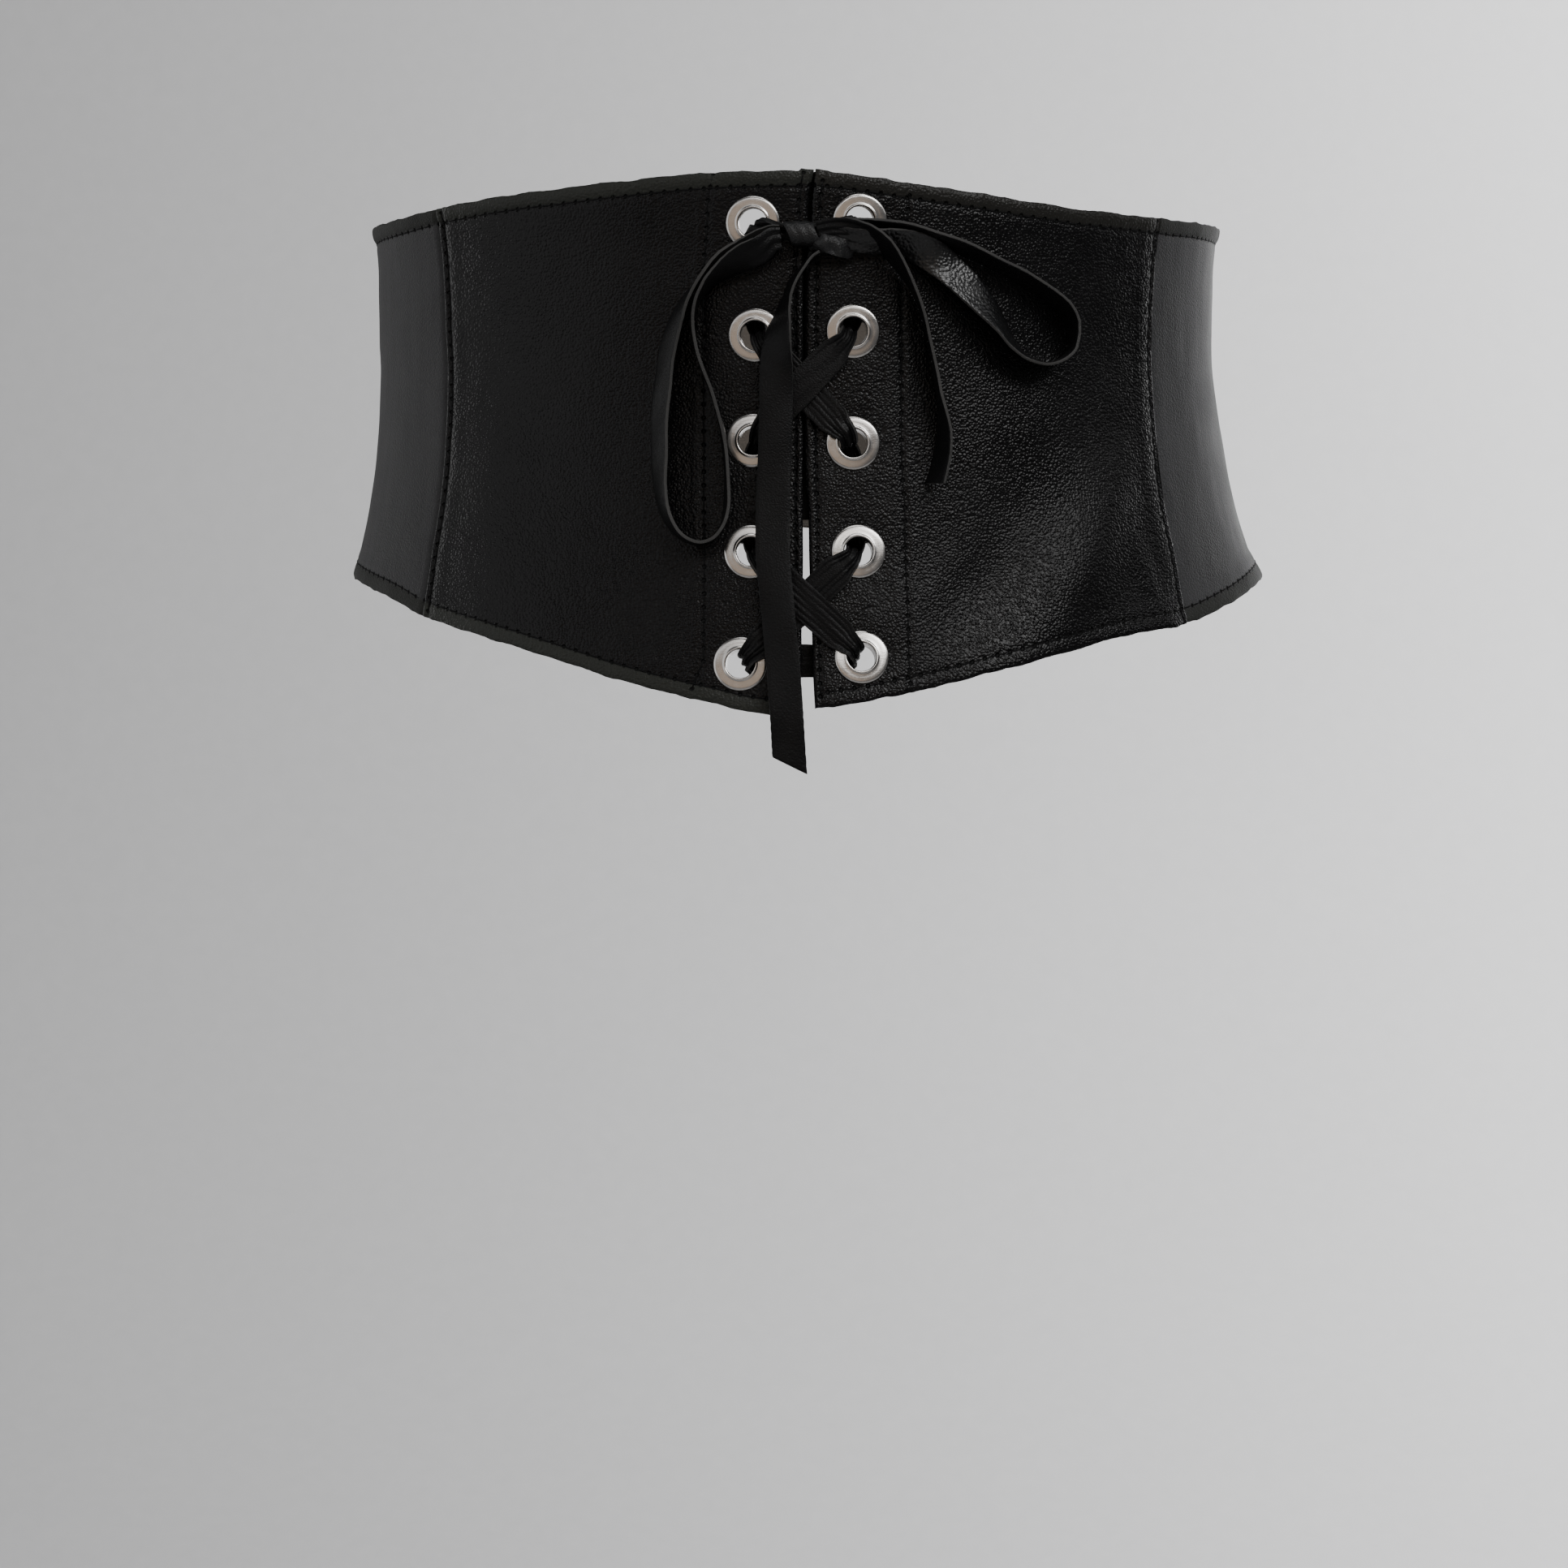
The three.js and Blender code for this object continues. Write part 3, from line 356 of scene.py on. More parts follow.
free_lace("lace_loop_left", "bow_loop_left", LEFT_LOOP)
free_lace("lace_loop_right", "bow_loop_right", RIGHT_LOOP, grain=lace_worn)
free_lace("lace_tail_right", "bow_tail_right", RIGHT_TAIL)
free_lace("lace_tail_centre", "bow_tail_centre", CENTRE_TAIL, cut_slant=6)

# The four panels of the belt: hide about 2 mm thick, flesh side inwards. The top and bottom edges are cut raw
# and sewn down, the front edges are turned round a facing, and the side seams are turned forwards and
# top-stitched. The back is left plain, with one seam in the middle.
TOP_EDGE = [(0, 0.985, 1), (8, 0.98, 0.955), (13, 0.97, 0.92), (25, 0.93, 0.85), (33, 0.9, 0.81),
            (41, 0.88, 0.78), (57, 0.825, 0.765), (70, 0.79, 0.775), (90, 0.785, 0.785), (135, 0.765, 0.765),
            (180, 0.76, 0.76)]
BOTTOM_EDGE = [(0, 1.003, 0.992), (5, 0.995, 0.975), (10, 0.97, 0.955), (17, 0.935, 0.922),
               (25, 0.887, 0.878), (34, 0.832, 0.83), (43, 0.785, 0.79), (53, 0.738, 0.76),
               (62, 0.687, 0.715), (76, 0.64, 0.65), (90, 0.61, 0.61), (135, 0.5, 0.5), (180, 0.45, 0.45)]
FRONT_EDGES = [(0, -0.9, 1.13), (0.07, 0.02, 0.98), (0.15, 0.1, 0.9), (0.27, 0.21, 0.7),
               (0.37, 0.19, 0.62), (0.42, 0.21, 0.43), (0.5, 0.23, 0.35), (0.65, 0.23, 0.35),
               (0.8, 0.25, 0.4), (0.9, 0.58, 0.87), (0.945, 0.63, 0.94), (1, 1.08, 1.2)]
EYELET_ROWS = [(1.147, 1.007, -0.012, 0.009), (1.002, 1.007, -0.032, 0.003), (1.048, 1.005, 0.006, -0.017),
               (1.079, 1.028, -0.009, -0.006), (1.274, 1.018, -0.029, 0.032)]
EYELET_PITCH = 34.4
STITCHED_IN = 3.0
FRONT_STITCH_IN = {-1: [(0, 3.1), (1, 3.1)],
                   1: [(0, 1.9), (0.3, 2.6), (0.5, 3.5), (0.8, 3.5), (0.93, 2.7), (1, 2.7)]}
FACING_STITCH_IN = {-1: 32.0, 1: 30.5}
SEAM_STITCH_IN = {-1: 2.6, 1: 1.6}
SEAM_ANGLE, SEAM_LEAN = 55, 3.4
STITCH = 4.25
HOLE_EDGE, HOLE_FLOOR = 0.85, 0.3
THREAD_RADIUS = 0.28
HEM = 4.8
PANEL_THICKNESS = 2.2


def top_edge(angle):
    angle = np.asarray(angle, float)
    left, right = (read_table(TOP_EDGE, column, abs(angle)) for column in (1, 2))
    return FRONT_TOP * np.where(angle < 0, left, right)


def bottom_edge(angle):
    angle = np.asarray(angle, float)
    left, right = (read_table(BOTTOM_EDGE, column, abs(angle)) for column in (1, 2))
    return -FRONT_BOTTOM * np.where(angle < 0, left, right)


def front_edge_x(side, share):
    return 4 * read_table(FRONT_EDGES, 1 if side < 0 else 2, share)


def eyelet_places(side):
    """The middle of each eyelet on one side, on the leather, and the way it faces."""
    places = []
    for row, (in_left, in_right, lift_left, lift_right) in enumerate(EYELET_ROWS):
        inset, lift = (in_left, lift_left) if side < 0 else (in_right, lift_right)
        z = 32 - EYELET_PITCH * (row - lift)
        share = (z - bottom_edge(side)) / (top_edge(side) - bottom_edge(side))
        x = float(front_edge_x(side, share)) + side * inset * 15
        angle = angle_at(x, z)
        lean = max(side, 0) * (0, 0, 0, 0.02, 0.09)[row]
        outward = leather_outward(angle, z) + np.array([0, 0, lean])
        places.append((leather_point(angle, z), outward / np.linalg.norm(outward)))
    return places


def close_at_ends(length, close, step):
    """Distances over a length: the given ones from both ends, and even steps between them."""
    close = np.array(close, float)
    count = max(int(round((length - 2 * close[-1]) / step)), 1)
    middle = np.linspace(close[-1], length - close[-1], count + 1)[1:-1]
    return np.concatenate([close, middle, length - close[::-1]]) / length


def uneven(u, v, seed, size):
    """A soft unevenness of about -1 to 1 over a surface."""
    mix = np.zeros_like(u)
    for k in range(6):
        turn = 2.399 * (k + seed)
        mix = mix + np.sin((u * math.cos(turn) + v * math.sin(turn)) * (2 * math.pi / size) * (0.7 + 0.16 * k)
                           + 1.7 * k * seed)
    return mix / 3


def groove(distance, width):
    return np.exp(-(distance / width) ** 2)


def step_up(distance, width):
    return 0.5 + 0.5 * np.tanh(distance / width)


def read_marks(material, name):
    """The three numbers that each place of a panel carries under one name."""
    nodes, links = material.node_tree.nodes, material.node_tree.links
    reader = nodes.new("ShaderNodeAttribute")
    reader.attribute_name = name
    split = nodes.new("ShaderNodeSeparateXYZ")
    links.new(reader.outputs["Vector"], split.inputs["Vector"])
    return split.outputs


def sew(material, lines, hem_tone_and_sheen, band_gloss, low_hem=True):
    """Adds what a needle leaves: pits along each line at every stitch, darkened by painted shade, and a duller
    hem of its own tone, that tone partly a painted sheen. A line names an attribute, one of its three numbers,
    the distance in and the number of panel_runs that counts the stitches."""
    nodes, links = material.node_tree.nodes, material.node_tree.links
    shader = nodes["Principled BSDF"]
    normal_from = shader.inputs["Normal"].links[0].from_socket
    colour_from = shader.inputs["Base Color"].links[0].from_socket
    gloss_from = shader.inputs["Roughness"].links[0].from_socket
    marks = {name: read_marks(material, name) for name in ("panel_edges", "panel_runs")}

    def maths(operation, a, b=None, c=None):
        node = nodes.new("ShaderNodeMath")
        node.operation = operation
        for socket, value in zip(node.inputs, (a, b, c)):
            if isinstance(value, (int, float)):
                socket.default_value = value
            elif value is not None:
                links.new(value, socket)
        return node.outputs["Value"]

    pits = None
    for source, index, inset, run in lines:
        away = maths("SUBTRACT", marks[source][index], inset)
        turn = maths("DIVIDE", marks["panel_runs"][run], STITCH)
        along = maths("MULTIPLY", maths("PINGPONG", turn, 0.5), STITCH)
        far = maths("SQRT", maths("ADD", maths("MULTIPLY", away, away), maths("MULTIPLY", along, along)))
        pit = set_inputs(nodes.new("ShaderNodeMapRange"), From_Min=HOLE_EDGE, From_Max=HOLE_FLOOR)
        pit.interpolation_type = "SMOOTHSTEP"
        links.new(far, pit.inputs["Value"])
        pits = pit.outputs["Result"] if pits is None else maths("MAXIMUM", pits, pit.outputs["Result"])
    low = marks["panel_edges"][1]
    if low_hem:
        low = maths("MINIMUM", low, marks["panel_edges"][2])
    hem = set_inputs(nodes.new("ShaderNodeMapRange"), From_Min=HEM + 0.3, From_Max=HEM - 0.8)
    hem.interpolation_type = "SMOOTHSTEP"
    links.new(low, hem.inputs["Value"])
    # The hem's tone, partly a painted sheen.
    tinted = nodes.new("ShaderNodeMix")
    tinted.data_type = "RGBA"
    links.new(hem.outputs["Result"], tinted.inputs["Factor"])
    links.new(colour_from, tinted.inputs["A"])
    tinted.inputs["B"].default_value = (*hem_tone_and_sheen, 1)
    # Painted shade: the hide is darkened almost to black in the stitch pits.
    pit_shade_painted = nodes.new("ShaderNodeMix")
    pit_shade_painted.data_type = "RGBA"
    links.new(pits, pit_shade_painted.inputs["Factor"])
    links.new(tinted.outputs["Result"], pit_shade_painted.inputs["A"])
    pit_shade_painted.inputs["B"].default_value = (0.001, 0.001, 0.001, 1)
    links.new(pit_shade_painted.outputs["Result"], shader.inputs["Base Color"])
    dulled = maths("MULTIPLY_ADD", hem.outputs["Result"], band_gloss, gloss_from)
    links.new(maths("MULTIPLY_ADD", pits, 0.4, dulled), shader.inputs["Roughness"])
    sunk = set_inputs(nodes.new("ShaderNodeBump"), Strength=1, Distance=0.0007)
    sunk.invert = True
    links.new(pits, sunk.inputs["Height"])
    links.new(normal_from, sunk.inputs["Normal"])
    links.new(sunk.outputs["Normal"], shader.inputs["Normal"])
    return material


HEM_LINES = [("panel_edges", 1, HEM, 1), ("panel_edges", 2, HEM, 1)]
# The hems' tones: partly their own greyer leather, partly a painted sheen where the rolled hems catch the
# light.
HEM_TONE_AND_SHEEN = {-1: (0.026, 0.0275, 0.024), 1: (0.02, 0.0195, 0.0175)}
front_hide = {}
for side, word in ((-1, "left"), (1, "right")):
    base = hide_material(f"front_hide_{word}", (0.005, 0.0048, 0.0052), 0.25, 0.8, 0.23, 0.2, streak=0.02,
                         shine=0.2)
    lines = HEM_LINES + [("panel_edges", 0, STITCHED_IN, 2), ("panel_edges", 0, FACING_STITCH_IN[side], 2),
                         ("panel_runs", 0, SEAM_STITCH_IN[side], 2)]
    front_hide[side] = sew(base, lines, HEM_TONE_AND_SHEEN[side], 0.08, low_hem=side < 0)
# The side panels' hide is lighter in colour than the front's: partly its own greyer leather, partly a painted
# sheen for the light the side panels catch at grazing angles.
base = hide_material("side_hide", (0.033, 0.033, 0.0348), 0.58, 0.6, 0.2, 0.35, streak=0.12, shine=0.26)
side_hide = sew(base, HEM_LINES, (0.022, 0.023, 0.021), 0.08)
flesh_side = hide_material("panel_flesh_side", (0.1, 0.085, 0.07), 0.9, 0.9, 0.2, 0.3, sheen=0.4)
raw_edge = hide_material("panel_raw_edge", (0.05, 0.036, 0.026), 0.85, 0.5, 0.3, 0.5, shine=0.2)
nodes, links = raw_edge.node_tree.nodes, raw_edge.node_tree.links
nearest = nodes.new("ShaderNodeMath")
nearest.operation = "MINIMUM"
for number, name in enumerate(("panel_edges", "panel_runs")):
    links.new(read_marks(raw_edge, name)[0], nearest.inputs[number])
turned = nodes.new("ShaderNodeMath")
turned.operation = "LESS_THAN"
turned.inputs[1].default_value = 0.2
links.new(nearest.outputs["Value"], turned.inputs[0])
dyed = nodes.new("ShaderNodeMix")
dyed.data_type = "RGBA"
links.new(turned.outputs["Value"], dyed.inputs["Factor"])
links.new(nodes["Principled BSDF"].inputs["Base Color"].links[0].from_socket, dyed.inputs["A"])
dyed.inputs["B"].default_value = (0.006, 0.006, 0.0062, 1)
links.new(dyed.outputs["Result"], nodes["Principled BSDF"].inputs["Base Color"])
thread = hide_material("sewing_thread", (0.005, 0.005, 0.0054), 0.7, 0.25, 0.06, 0.2, shine=0.15)


def line_over(places, across, run, level, vertical):
    """The line on a panel where one distance has one value, and how far along it each place is."""
    line, lengths = [], []
    for k in range(across.shape[1] if vertical else across.shape[0]):
        keys, spots, marks = ((across[:, k], places[:, k], run[:, k]) if vertical
                              else (across[k], places[k], run[k]))
        if keys[0] > keys[-1]:
            keys, spots, marks = keys[::-1], spots[::-1], marks[::-1]
        line.append([np.interp(level, keys, spots[:, n]) for n in range(3)])
        lengths.append(np.interp(level, keys, marks))
    return np.array(line), np.array(lengths)


def sew_thread(name, lines):
    """Black thread, one short stitch from each needle hole to the next."""
    form = bmesh.new()
    for line, lengths in lines:
        if lengths[0] > lengths[-1]:
            line, lengths = line[::-1], lengths[::-1]
        first, last = math.ceil(lengths[0] / STITCH), math.floor(lengths[-1] / STITCH)
        for n in range(first, last):
            ends = np.array([[np.interp((n + part) * STITCH, lengths, line[:, k]) for k in range(3)]
                             for part in (0.1, 0.9)]) * 0.001
            middle, way = Vector(ends.mean(axis=0)), Vector(ends[1] - ends[0])
            turn = way.to_track_quat("Z", "Y").to_matrix().to_4x4()
            size = Matrix.Diagonal((THREAD_RADIUS * 0.001, THREAD_RADIUS * 0.001, way.length / 2, 1))
            bmesh.ops.create_uvsphere(form, u_segments=6, v_segments=5, radius=1.0,
                                      matrix=Matrix.Translation(middle) @ turn @ size)
    stitches = piece_of(form, name, [thread])
    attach(stitches, "root")


def edge_relief(side, angle, below_top, above_bottom):
    """The hems: drawn in at their stitches, raised between them and the edge, and flared at the sides."""
    flare = np.clip((abs(angle) - 30) / 50, 0, 1) * np.clip((150 - abs(angle)) / 50, 0, 1)
    relief = -0.3 * groove(below_top - HEM, 0.9) - 0.16 * groove(above_bottom - HEM, 0.9)
    relief = relief + 1.1 * flare * np.clip(1 - below_top / HEM, 0, 1) ** 0.8
    relief = relief + (0.6 if side < 0 else 2.2) * flare * np.clip(1 - above_bottom / (2 * HEM), 0, 1)
    relief = relief + 0.22 * groove(below_top - HEM / 2, 1.6) + 0.05 * groove(above_bottom - HEM / 2, 1.6)
    return relief - 0.35 * groove(below_top, 0.45) - 0.35 * groove(above_bottom, 0.45)


def front_relief(side, angle, above_bottom, from_front, from_seam, stitch_in):
    """A front panel's own forms: its lower edge curls out, its front edge is turned over a facing that ends
    in a step, and a ridge runs beside the side seam."""
    facing_in, seam_in = FACING_STITCH_IN[side], SEAM_STITCH_IN[side]
    curled = np.clip(1 - above_bottom / 36, 0, 1) ** 2 * step_up(48 - abs(angle), 8)
    relief = (1.1 if side > 0 else 0.3) * curled
    relief = relief + 0.15 * groove(from_front - stitch_in / 2, 0.9) - 0.5 * groove(from_front, 0.5)
    relief = relief - 0.28 * groove(from_front - stitch_in, 0.8)
    relief = relief + 0.35 * step_up(facing_in + 0.4 - from_front, 0.6)
    relief = relief + 0.2 * groove(from_front - facing_in - 2.2, 1.6) + 0.25 * groove(from_seam - 6, 2.4)
    relief = relief - 0.4 * groove(from_front - facing_in, 0.8)
    if side < 0:
        return (relief + 0.5 * groove(from_seam - 1.3, 1.0) - 0.5 * groove(from_seam - seam_in, 0.8)
                - 0.9 * groove(from_seam, 0.7))
    return relief + 0.1 * groove(from_seam - 3.2, 1.5) - 0.1 * groove(from_seam - seam_in, 0.8)


def round_eyelets(relief, skin, side):
    """The leather at the eyelets: pressed flat under the rims and puckered round them."""
    for middle, _ in eyelet_places(side):
        far = skin - middle
        reach = np.linalg.norm(far, axis=2)
        turn = np.arctan2(far[..., 2], far[..., 0] * side)
        near = np.exp(-((np.maximum(reach - 8, 0)) / 3.2) ** 2)
        pucker = 0.1 * np.sin(9 * turn + middle[2]) + 0.06 * np.sin(14 * turn - middle[2])
        relief = relief * (1 - 0.8 * groove(reach, 8)) + near * (pucker * (reach > 6) - 0.12)
    return relief


def belt_panel(name, side, is_front):
    """One panel, from its front edge or seam backwards."""
    facing_in = FACING_STITCH_IN[side]
    close = (0, 0.25, 0.6, 1.1, 1.7, 2.3, 2.9, 3.5, 4.2, 5, 6, 7.2)
    up = close_at_ends(150, (0, 0.3, 0.8, 1.6, 2.6, 3.6, 4.3, 4.8, 5.3, 6.2, 7.4), 1.5)
    width = 124 if is_front else 268
    over = close_at_ends(width, close, 1.25 if is_front else 2.2)
    if is_front:
        at_facing = (facing_in + np.array([-1.4, -0.9, -0.5, 0, 0.5, 0.9, 1.4])) / width
        over = np.unique(np.concatenate([over[abs(over - facing_in / width) > 1.8 / width], at_facing]))
    across, height = np.meshgrid(over, up, indexing="ij")
    edge_z = bottom_edge(side) + (top_edge(side) - bottom_edge(side)) * height
    seam = side * (SEAM_ANGLE + SEAM_LEAN * (height - 0.5))
    start = angle_at(front_edge_x(side, height), edge_z) if is_front else seam
    stop = seam if is_front else np.full_like(seam, side * (180 + np.degrees(0.05 / WAIST[0])))
    angle = start + (stop - start) * across
    low, high = bottom_edge(angle), top_edge(angle)
    z = low + (high - low) * height
    skin = leather_point(angle, z)
    facing = leather_outward(angle, z)
    run_over = np.concatenate([np.zeros((1, len(up))),
                               np.cumsum(np.linalg.norm(np.diff(skin, axis=0), axis=2), axis=0)])
    to_end = run_over[-1] - run_over
    from_front, from_seam = (run_over, to_end) if is_front else (to_end, run_over)
    below_top, above_bottom = high - z, z - low
    run_up = z - bottom_edge(side)

    ragged = 0.22 * uneven(run_over, run_over * 0, 3 + side, 14) + 0.1 * uneven(run_over, run_over * 0, 5, 4)
    z = z + ragged * (groove(below_top, 4) + groove(above_bottom, 4))
    skin = leather_point(angle, z)
    relief = 0.13 * uneven(run_over, z, 2 + side, 46) + 0.05 * uneven(run_over, z, 4, 17)
    relief = relief + edge_relief(side, angle, below_top, above_bottom)
    if is_front:
        stitch_in = read_table(FRONT_STITCH_IN[side], 1, height)
        relief = relief + front_relief(side, angle, above_bottom, from_front, from_seam, stitch_in)
        relief = round_eyelets(relief, skin, side)
    else:
        relief = relief - (0.7 if side < 0 else 0.02) * groove(from_seam, 1.1)
        relief = relief + 0.05 * uneven(run_over, z * 0.12, 7, 9) - 0.5 * groove(to_end, 0.9)
    places = skin + facing * relief[..., None]
    if is_front:
        from_front = from_front + (STITCHED_IN - stitch_in) * np.clip(2 - from_front / 8, 0, 1)

    grids = [places, run_over, run_up, from_front, from_seam, below_top, above_bottom]
    if side < 0:
        grids = [grid[::-1] for grid in grids]
    places, run_over, run_up, from_front, from_seam, below_top, above_bottom = grids
    marks = [("panel_edges", np.stack([from_front, below_top, above_bottom], -1)),
             ("panel_runs", np.stack([from_seam, run_over, run_up], -1))]
    holes = [(Vector(middle) * 0.001, 0.0058) for middle, _ in eyelet_places(side)] if is_front else ()
    panel = hide_sheet(f"hide_{name}", places, np.stack([run_over, run_up], -1),
                       (front_hide[side] if is_front else side_hide, flesh_side, raw_edge),
                       PANEL_THICKNESS, 0.0, -1.0, marks, holes)
    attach(panel, "root")
    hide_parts(name)

    seams = [line_over(places, away, run_over, HEM, False) for away in (below_top, above_bottom)]
    if is_front:
        seams += [line_over(places, from_front, run_up, inset, True) for inset in (STITCHED_IN, facing_in)]
        seams.append(line_over(places, from_seam, run_up, SEAM_STITCH_IN[side], True))
    sew_thread(f"thread_{name}", seams)


for side, word in ((-1, "left"), (1, "right")):
    belt_panel(f"front_panel_{word}", side, True)
    belt_panel(f"side_panel_{word}", side, False)

# Behind the front opening: a narrow dark sheet of flesh-side lace, put where there is only shade, painting the
# dark seen through the gap between the front edges.
rows = []
for z in np.linspace(-61.4, 47.7, 60):
    share = (z - float(bottom_edge(-1))) / float(top_edge(-1) - bottom_edge(-1))
    left_x, right_x = float(front_edge_x(-1, share)), float(front_edge_x(1, share))
    depth = -PANEL_THICKNESS - 0.6 - 0.1 * math.sin(z / 6)
    rows.append([in_front(x, z, depth) for x in (right_x + 1.2, left_x, left_x - 2, left_x - 4.5)])
places = np.array(rows)
facing = hide_sheet("dark_strip_behind_opening", places, places[..., [0, 2]], (lace_flesh,) * 3, 0.8, 0.3)
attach(facing, "root")


# The eyelets: nickel-plated, with a flat rim in front whose edge is turned down, a barrel, and an edge that
# is rolled over a washer behind. Each is turned round its own axis and pressed a little into the leather.
nickel = bpy.data.materials.new("eyelet_nickel")
nickel.use_nodes = True
nodes, links = nickel.node_tree.nodes, nickel.node_tree.links
shader = nodes["Principled BSDF"]
shader.inputs["Metallic"].default_value = 1
shader.inputs["Anisotropic"].default_value = 0.4
place = nodes.new("ShaderNodeTexCoord")
smudge = set_inputs(nodes.new("ShaderNodeTexNoise"), Scale=420, Detail=5)
scratch = set_inputs(nodes.new("ShaderNodeTexNoise"), Scale=2600, Detail=2)
stretch = set_inputs(nodes.new("ShaderNodeMapping"), Scale=(0.12, 1, 1), Rotation=(0, 0.4, 0))
links.new(place.outputs["Object"], smudge.inputs["Vector"])
links.new(place.outputs["Object"], stretch.inputs["Vector"])
links.new(stretch.outputs["Vector"], scratch.inputs["Vector"])
tone = nodes.new("ShaderNodeValToRGB")
tone.color_ramp.elements[0].color = (0.56, 0.54, 0.52, 1)
tone.color_ramp.elements[1].color = (0.72, 0.7, 0.68, 1)
links.new(smudge.outputs["Fac"], tone.inputs["Fac"])
links.new(tone.outputs["Color"], shader.inputs["Base Color"])
dull = set_inputs(nodes.new("ShaderNodeMapRange"), To_Min=0.14, To_Max=0.32)
links.new(smudge.outputs["Fac"], dull.inputs["Value"])
links.new(dull.outputs["Result"], shader.inputs["Roughness"])
rubbed = set_inputs(nodes.new("ShaderNodeBump"), Strength=0.4, Distance=0.00003)
links.new(scratch.outputs["Fac"], rubbed.inputs["Height"])
links.new(rubbed.outputs["Normal"], shader.inputs["Normal"])

EYELET_PROFILE = [(4.5, -4.15), (4.62, -4.35), (4.95, -4.4), (6.1, -4.28), (6.45, -4.05), (6.35, -3.85),
                  (5.3, -3.8), (5.1, -3.5), (5.08, 0.1), (5.6, 0.14), (7.9, 0.02), (8.3, 0.04), (8.5, 0.3),
                  (8.42, 0.62), (8.1, 0.86), (7.6, 0.97), (6.6, 1.03), (5.7, 1.06), (5.4, 1.12), (5.25, 1.26),
                  (5.0, 1.33), (4.75, 1.28), (4.58, 1.08), (4.5, 0.75)]
WASHER_PROFILE = [(5.4, -3.05), (5.4, -3.6), (5.7, -3.7), (8.2, -3.7), (8.5, -3.5), (8.5, -3.0),
                  (8.2, -2.85), (5.7, -2.85)]


def turned_ring(name, profile, middle, facing, turns):
    """A ring turned from its profile: radius and height in front of the leather, round an eyelet's axis."""
    form = bmesh.new()
    spots = [form.verts.new((radius * 0.001, 0, height * 0.001)) for radius, height in profile]
    sides = [form.edges.new((a, b)) for a, b in zip(spots, spots[1:] + spots[:1])]
    bmesh.ops.spin(form, geom=spots + sides, cent=(0, 0, 0), axis=(0, 0, 1), angle=2 * math.pi, steps=turns,
                   use_merge=True)
    bmesh.ops.remove_doubles(form, verts=form.verts, dist=1e-6)
    bmesh.ops.recalc_face_normals(form, faces=form.faces)
    turn = Vector(facing).to_track_quat("Z", "Y").to_matrix().to_4x4()
    bmesh.ops.transform(form, matrix=Matrix.Translation(Vector(middle) * 0.001) @ turn, verts=form.verts)
    ring = piece_of(form, name, [nickel])
    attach(ring, "root")
    return ring


for side, word in ((-1, "left"), (1, "right")):
    for row, (middle, facing) in enumerate(eyelet_places(side), 1):
        eyelet = turned_ring(f"turned_eyelet_{word}_{row}", EYELET_PROFILE, middle, facing, 72)
        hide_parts(f"eyelet_{word}_{row}")
        washer = turned_ring(f"turned_washer_{word}_{row}", WASHER_PROFILE, middle, facing, 48)
        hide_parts(f"washer_{word}_{row}")


# The lace through the eyelets: the same flat lace, drawn together where it goes through a hole, so that ribs
# run along it. It crosses itself in front between the second and third and between the fourth and fifth
# pairs, and it goes straight from one eyelet to the next behind the leather.
FOLDED_WIDTH, FOLDED_THICKNESS, CLEARANCE = 5.0, 1.5, 0.3
over_rim = 1.4 + 1.7 * CLEARANCE + FOLDED_THICKNESS / 2
behind_roll = PANEL_THICKNESS + 0.5 + 0.7 + CLEARANCE + 0.6 + 3 * CLEARANCE + FOLDED_THICKNESS / 2
stops = {(word, n): place for word, side in (("left", -1), ("right", 1))
         for n, place in enumerate(eyelet_places(side), 1)}
order = [("left", 1), ("left", 2), ("right", 3), ("right", 4), ("left", 5), ("right", 5), ("left", 4),
         ("left", 3), ("right", 2), ("right", 1)]
in_front_of = [False, True, False, True, False, True, False, True, False]
lies_over = [False, False, False, False, False, True, False, True, False]
is_ribbed = [False, True, False, True, False, True, False, False, False]
hole, rim = 4.5, 8.5
knot_at = np.array([-0.3, 0.0, 27.6])
lace_rows = []


def heading(a, b):
    way = np.array([b[0] - a[0], 0.0, b[2] - a[2]])
    return way / np.linalg.norm(way)


def across_of(way):
    return np.array([-way[2], 0.0, way[0]])


def beside(stop, way, along, distance):
    middle, facing = stop
    in_plane = way - facing * np.dot(way, facing)
    in_plane /= np.linalg.norm(in_plane)
    return middle + in_plane * along + facing * distance


def add_row(middle, across, share, ribs=False):
    edge = np.array(across, float)
    if lace_rows and np.dot(edge, lace_rows[-1][1]) < 0:
        edge = -edge
    lace_rows.append((np.array(middle, float), edge, share, ribs))


def through_hole(stop, way_in, way_out, from_front):
    pull = way_out - way_in
    pull /= np.linalg.norm(pull)
    a, b = across_of(way_in), across_of(way_out)
    across = a - b if np.dot(a, b) < 0 else a + b
    across /= np.linalg.norm(across)
    depths = (0, -0.55 * behind_roll) if from_front else (-0.55 * behind_roll, 0)
    for depth in depths:
        add_row(beside(stop, pull, 0.27 * hole, depth), across, 1)


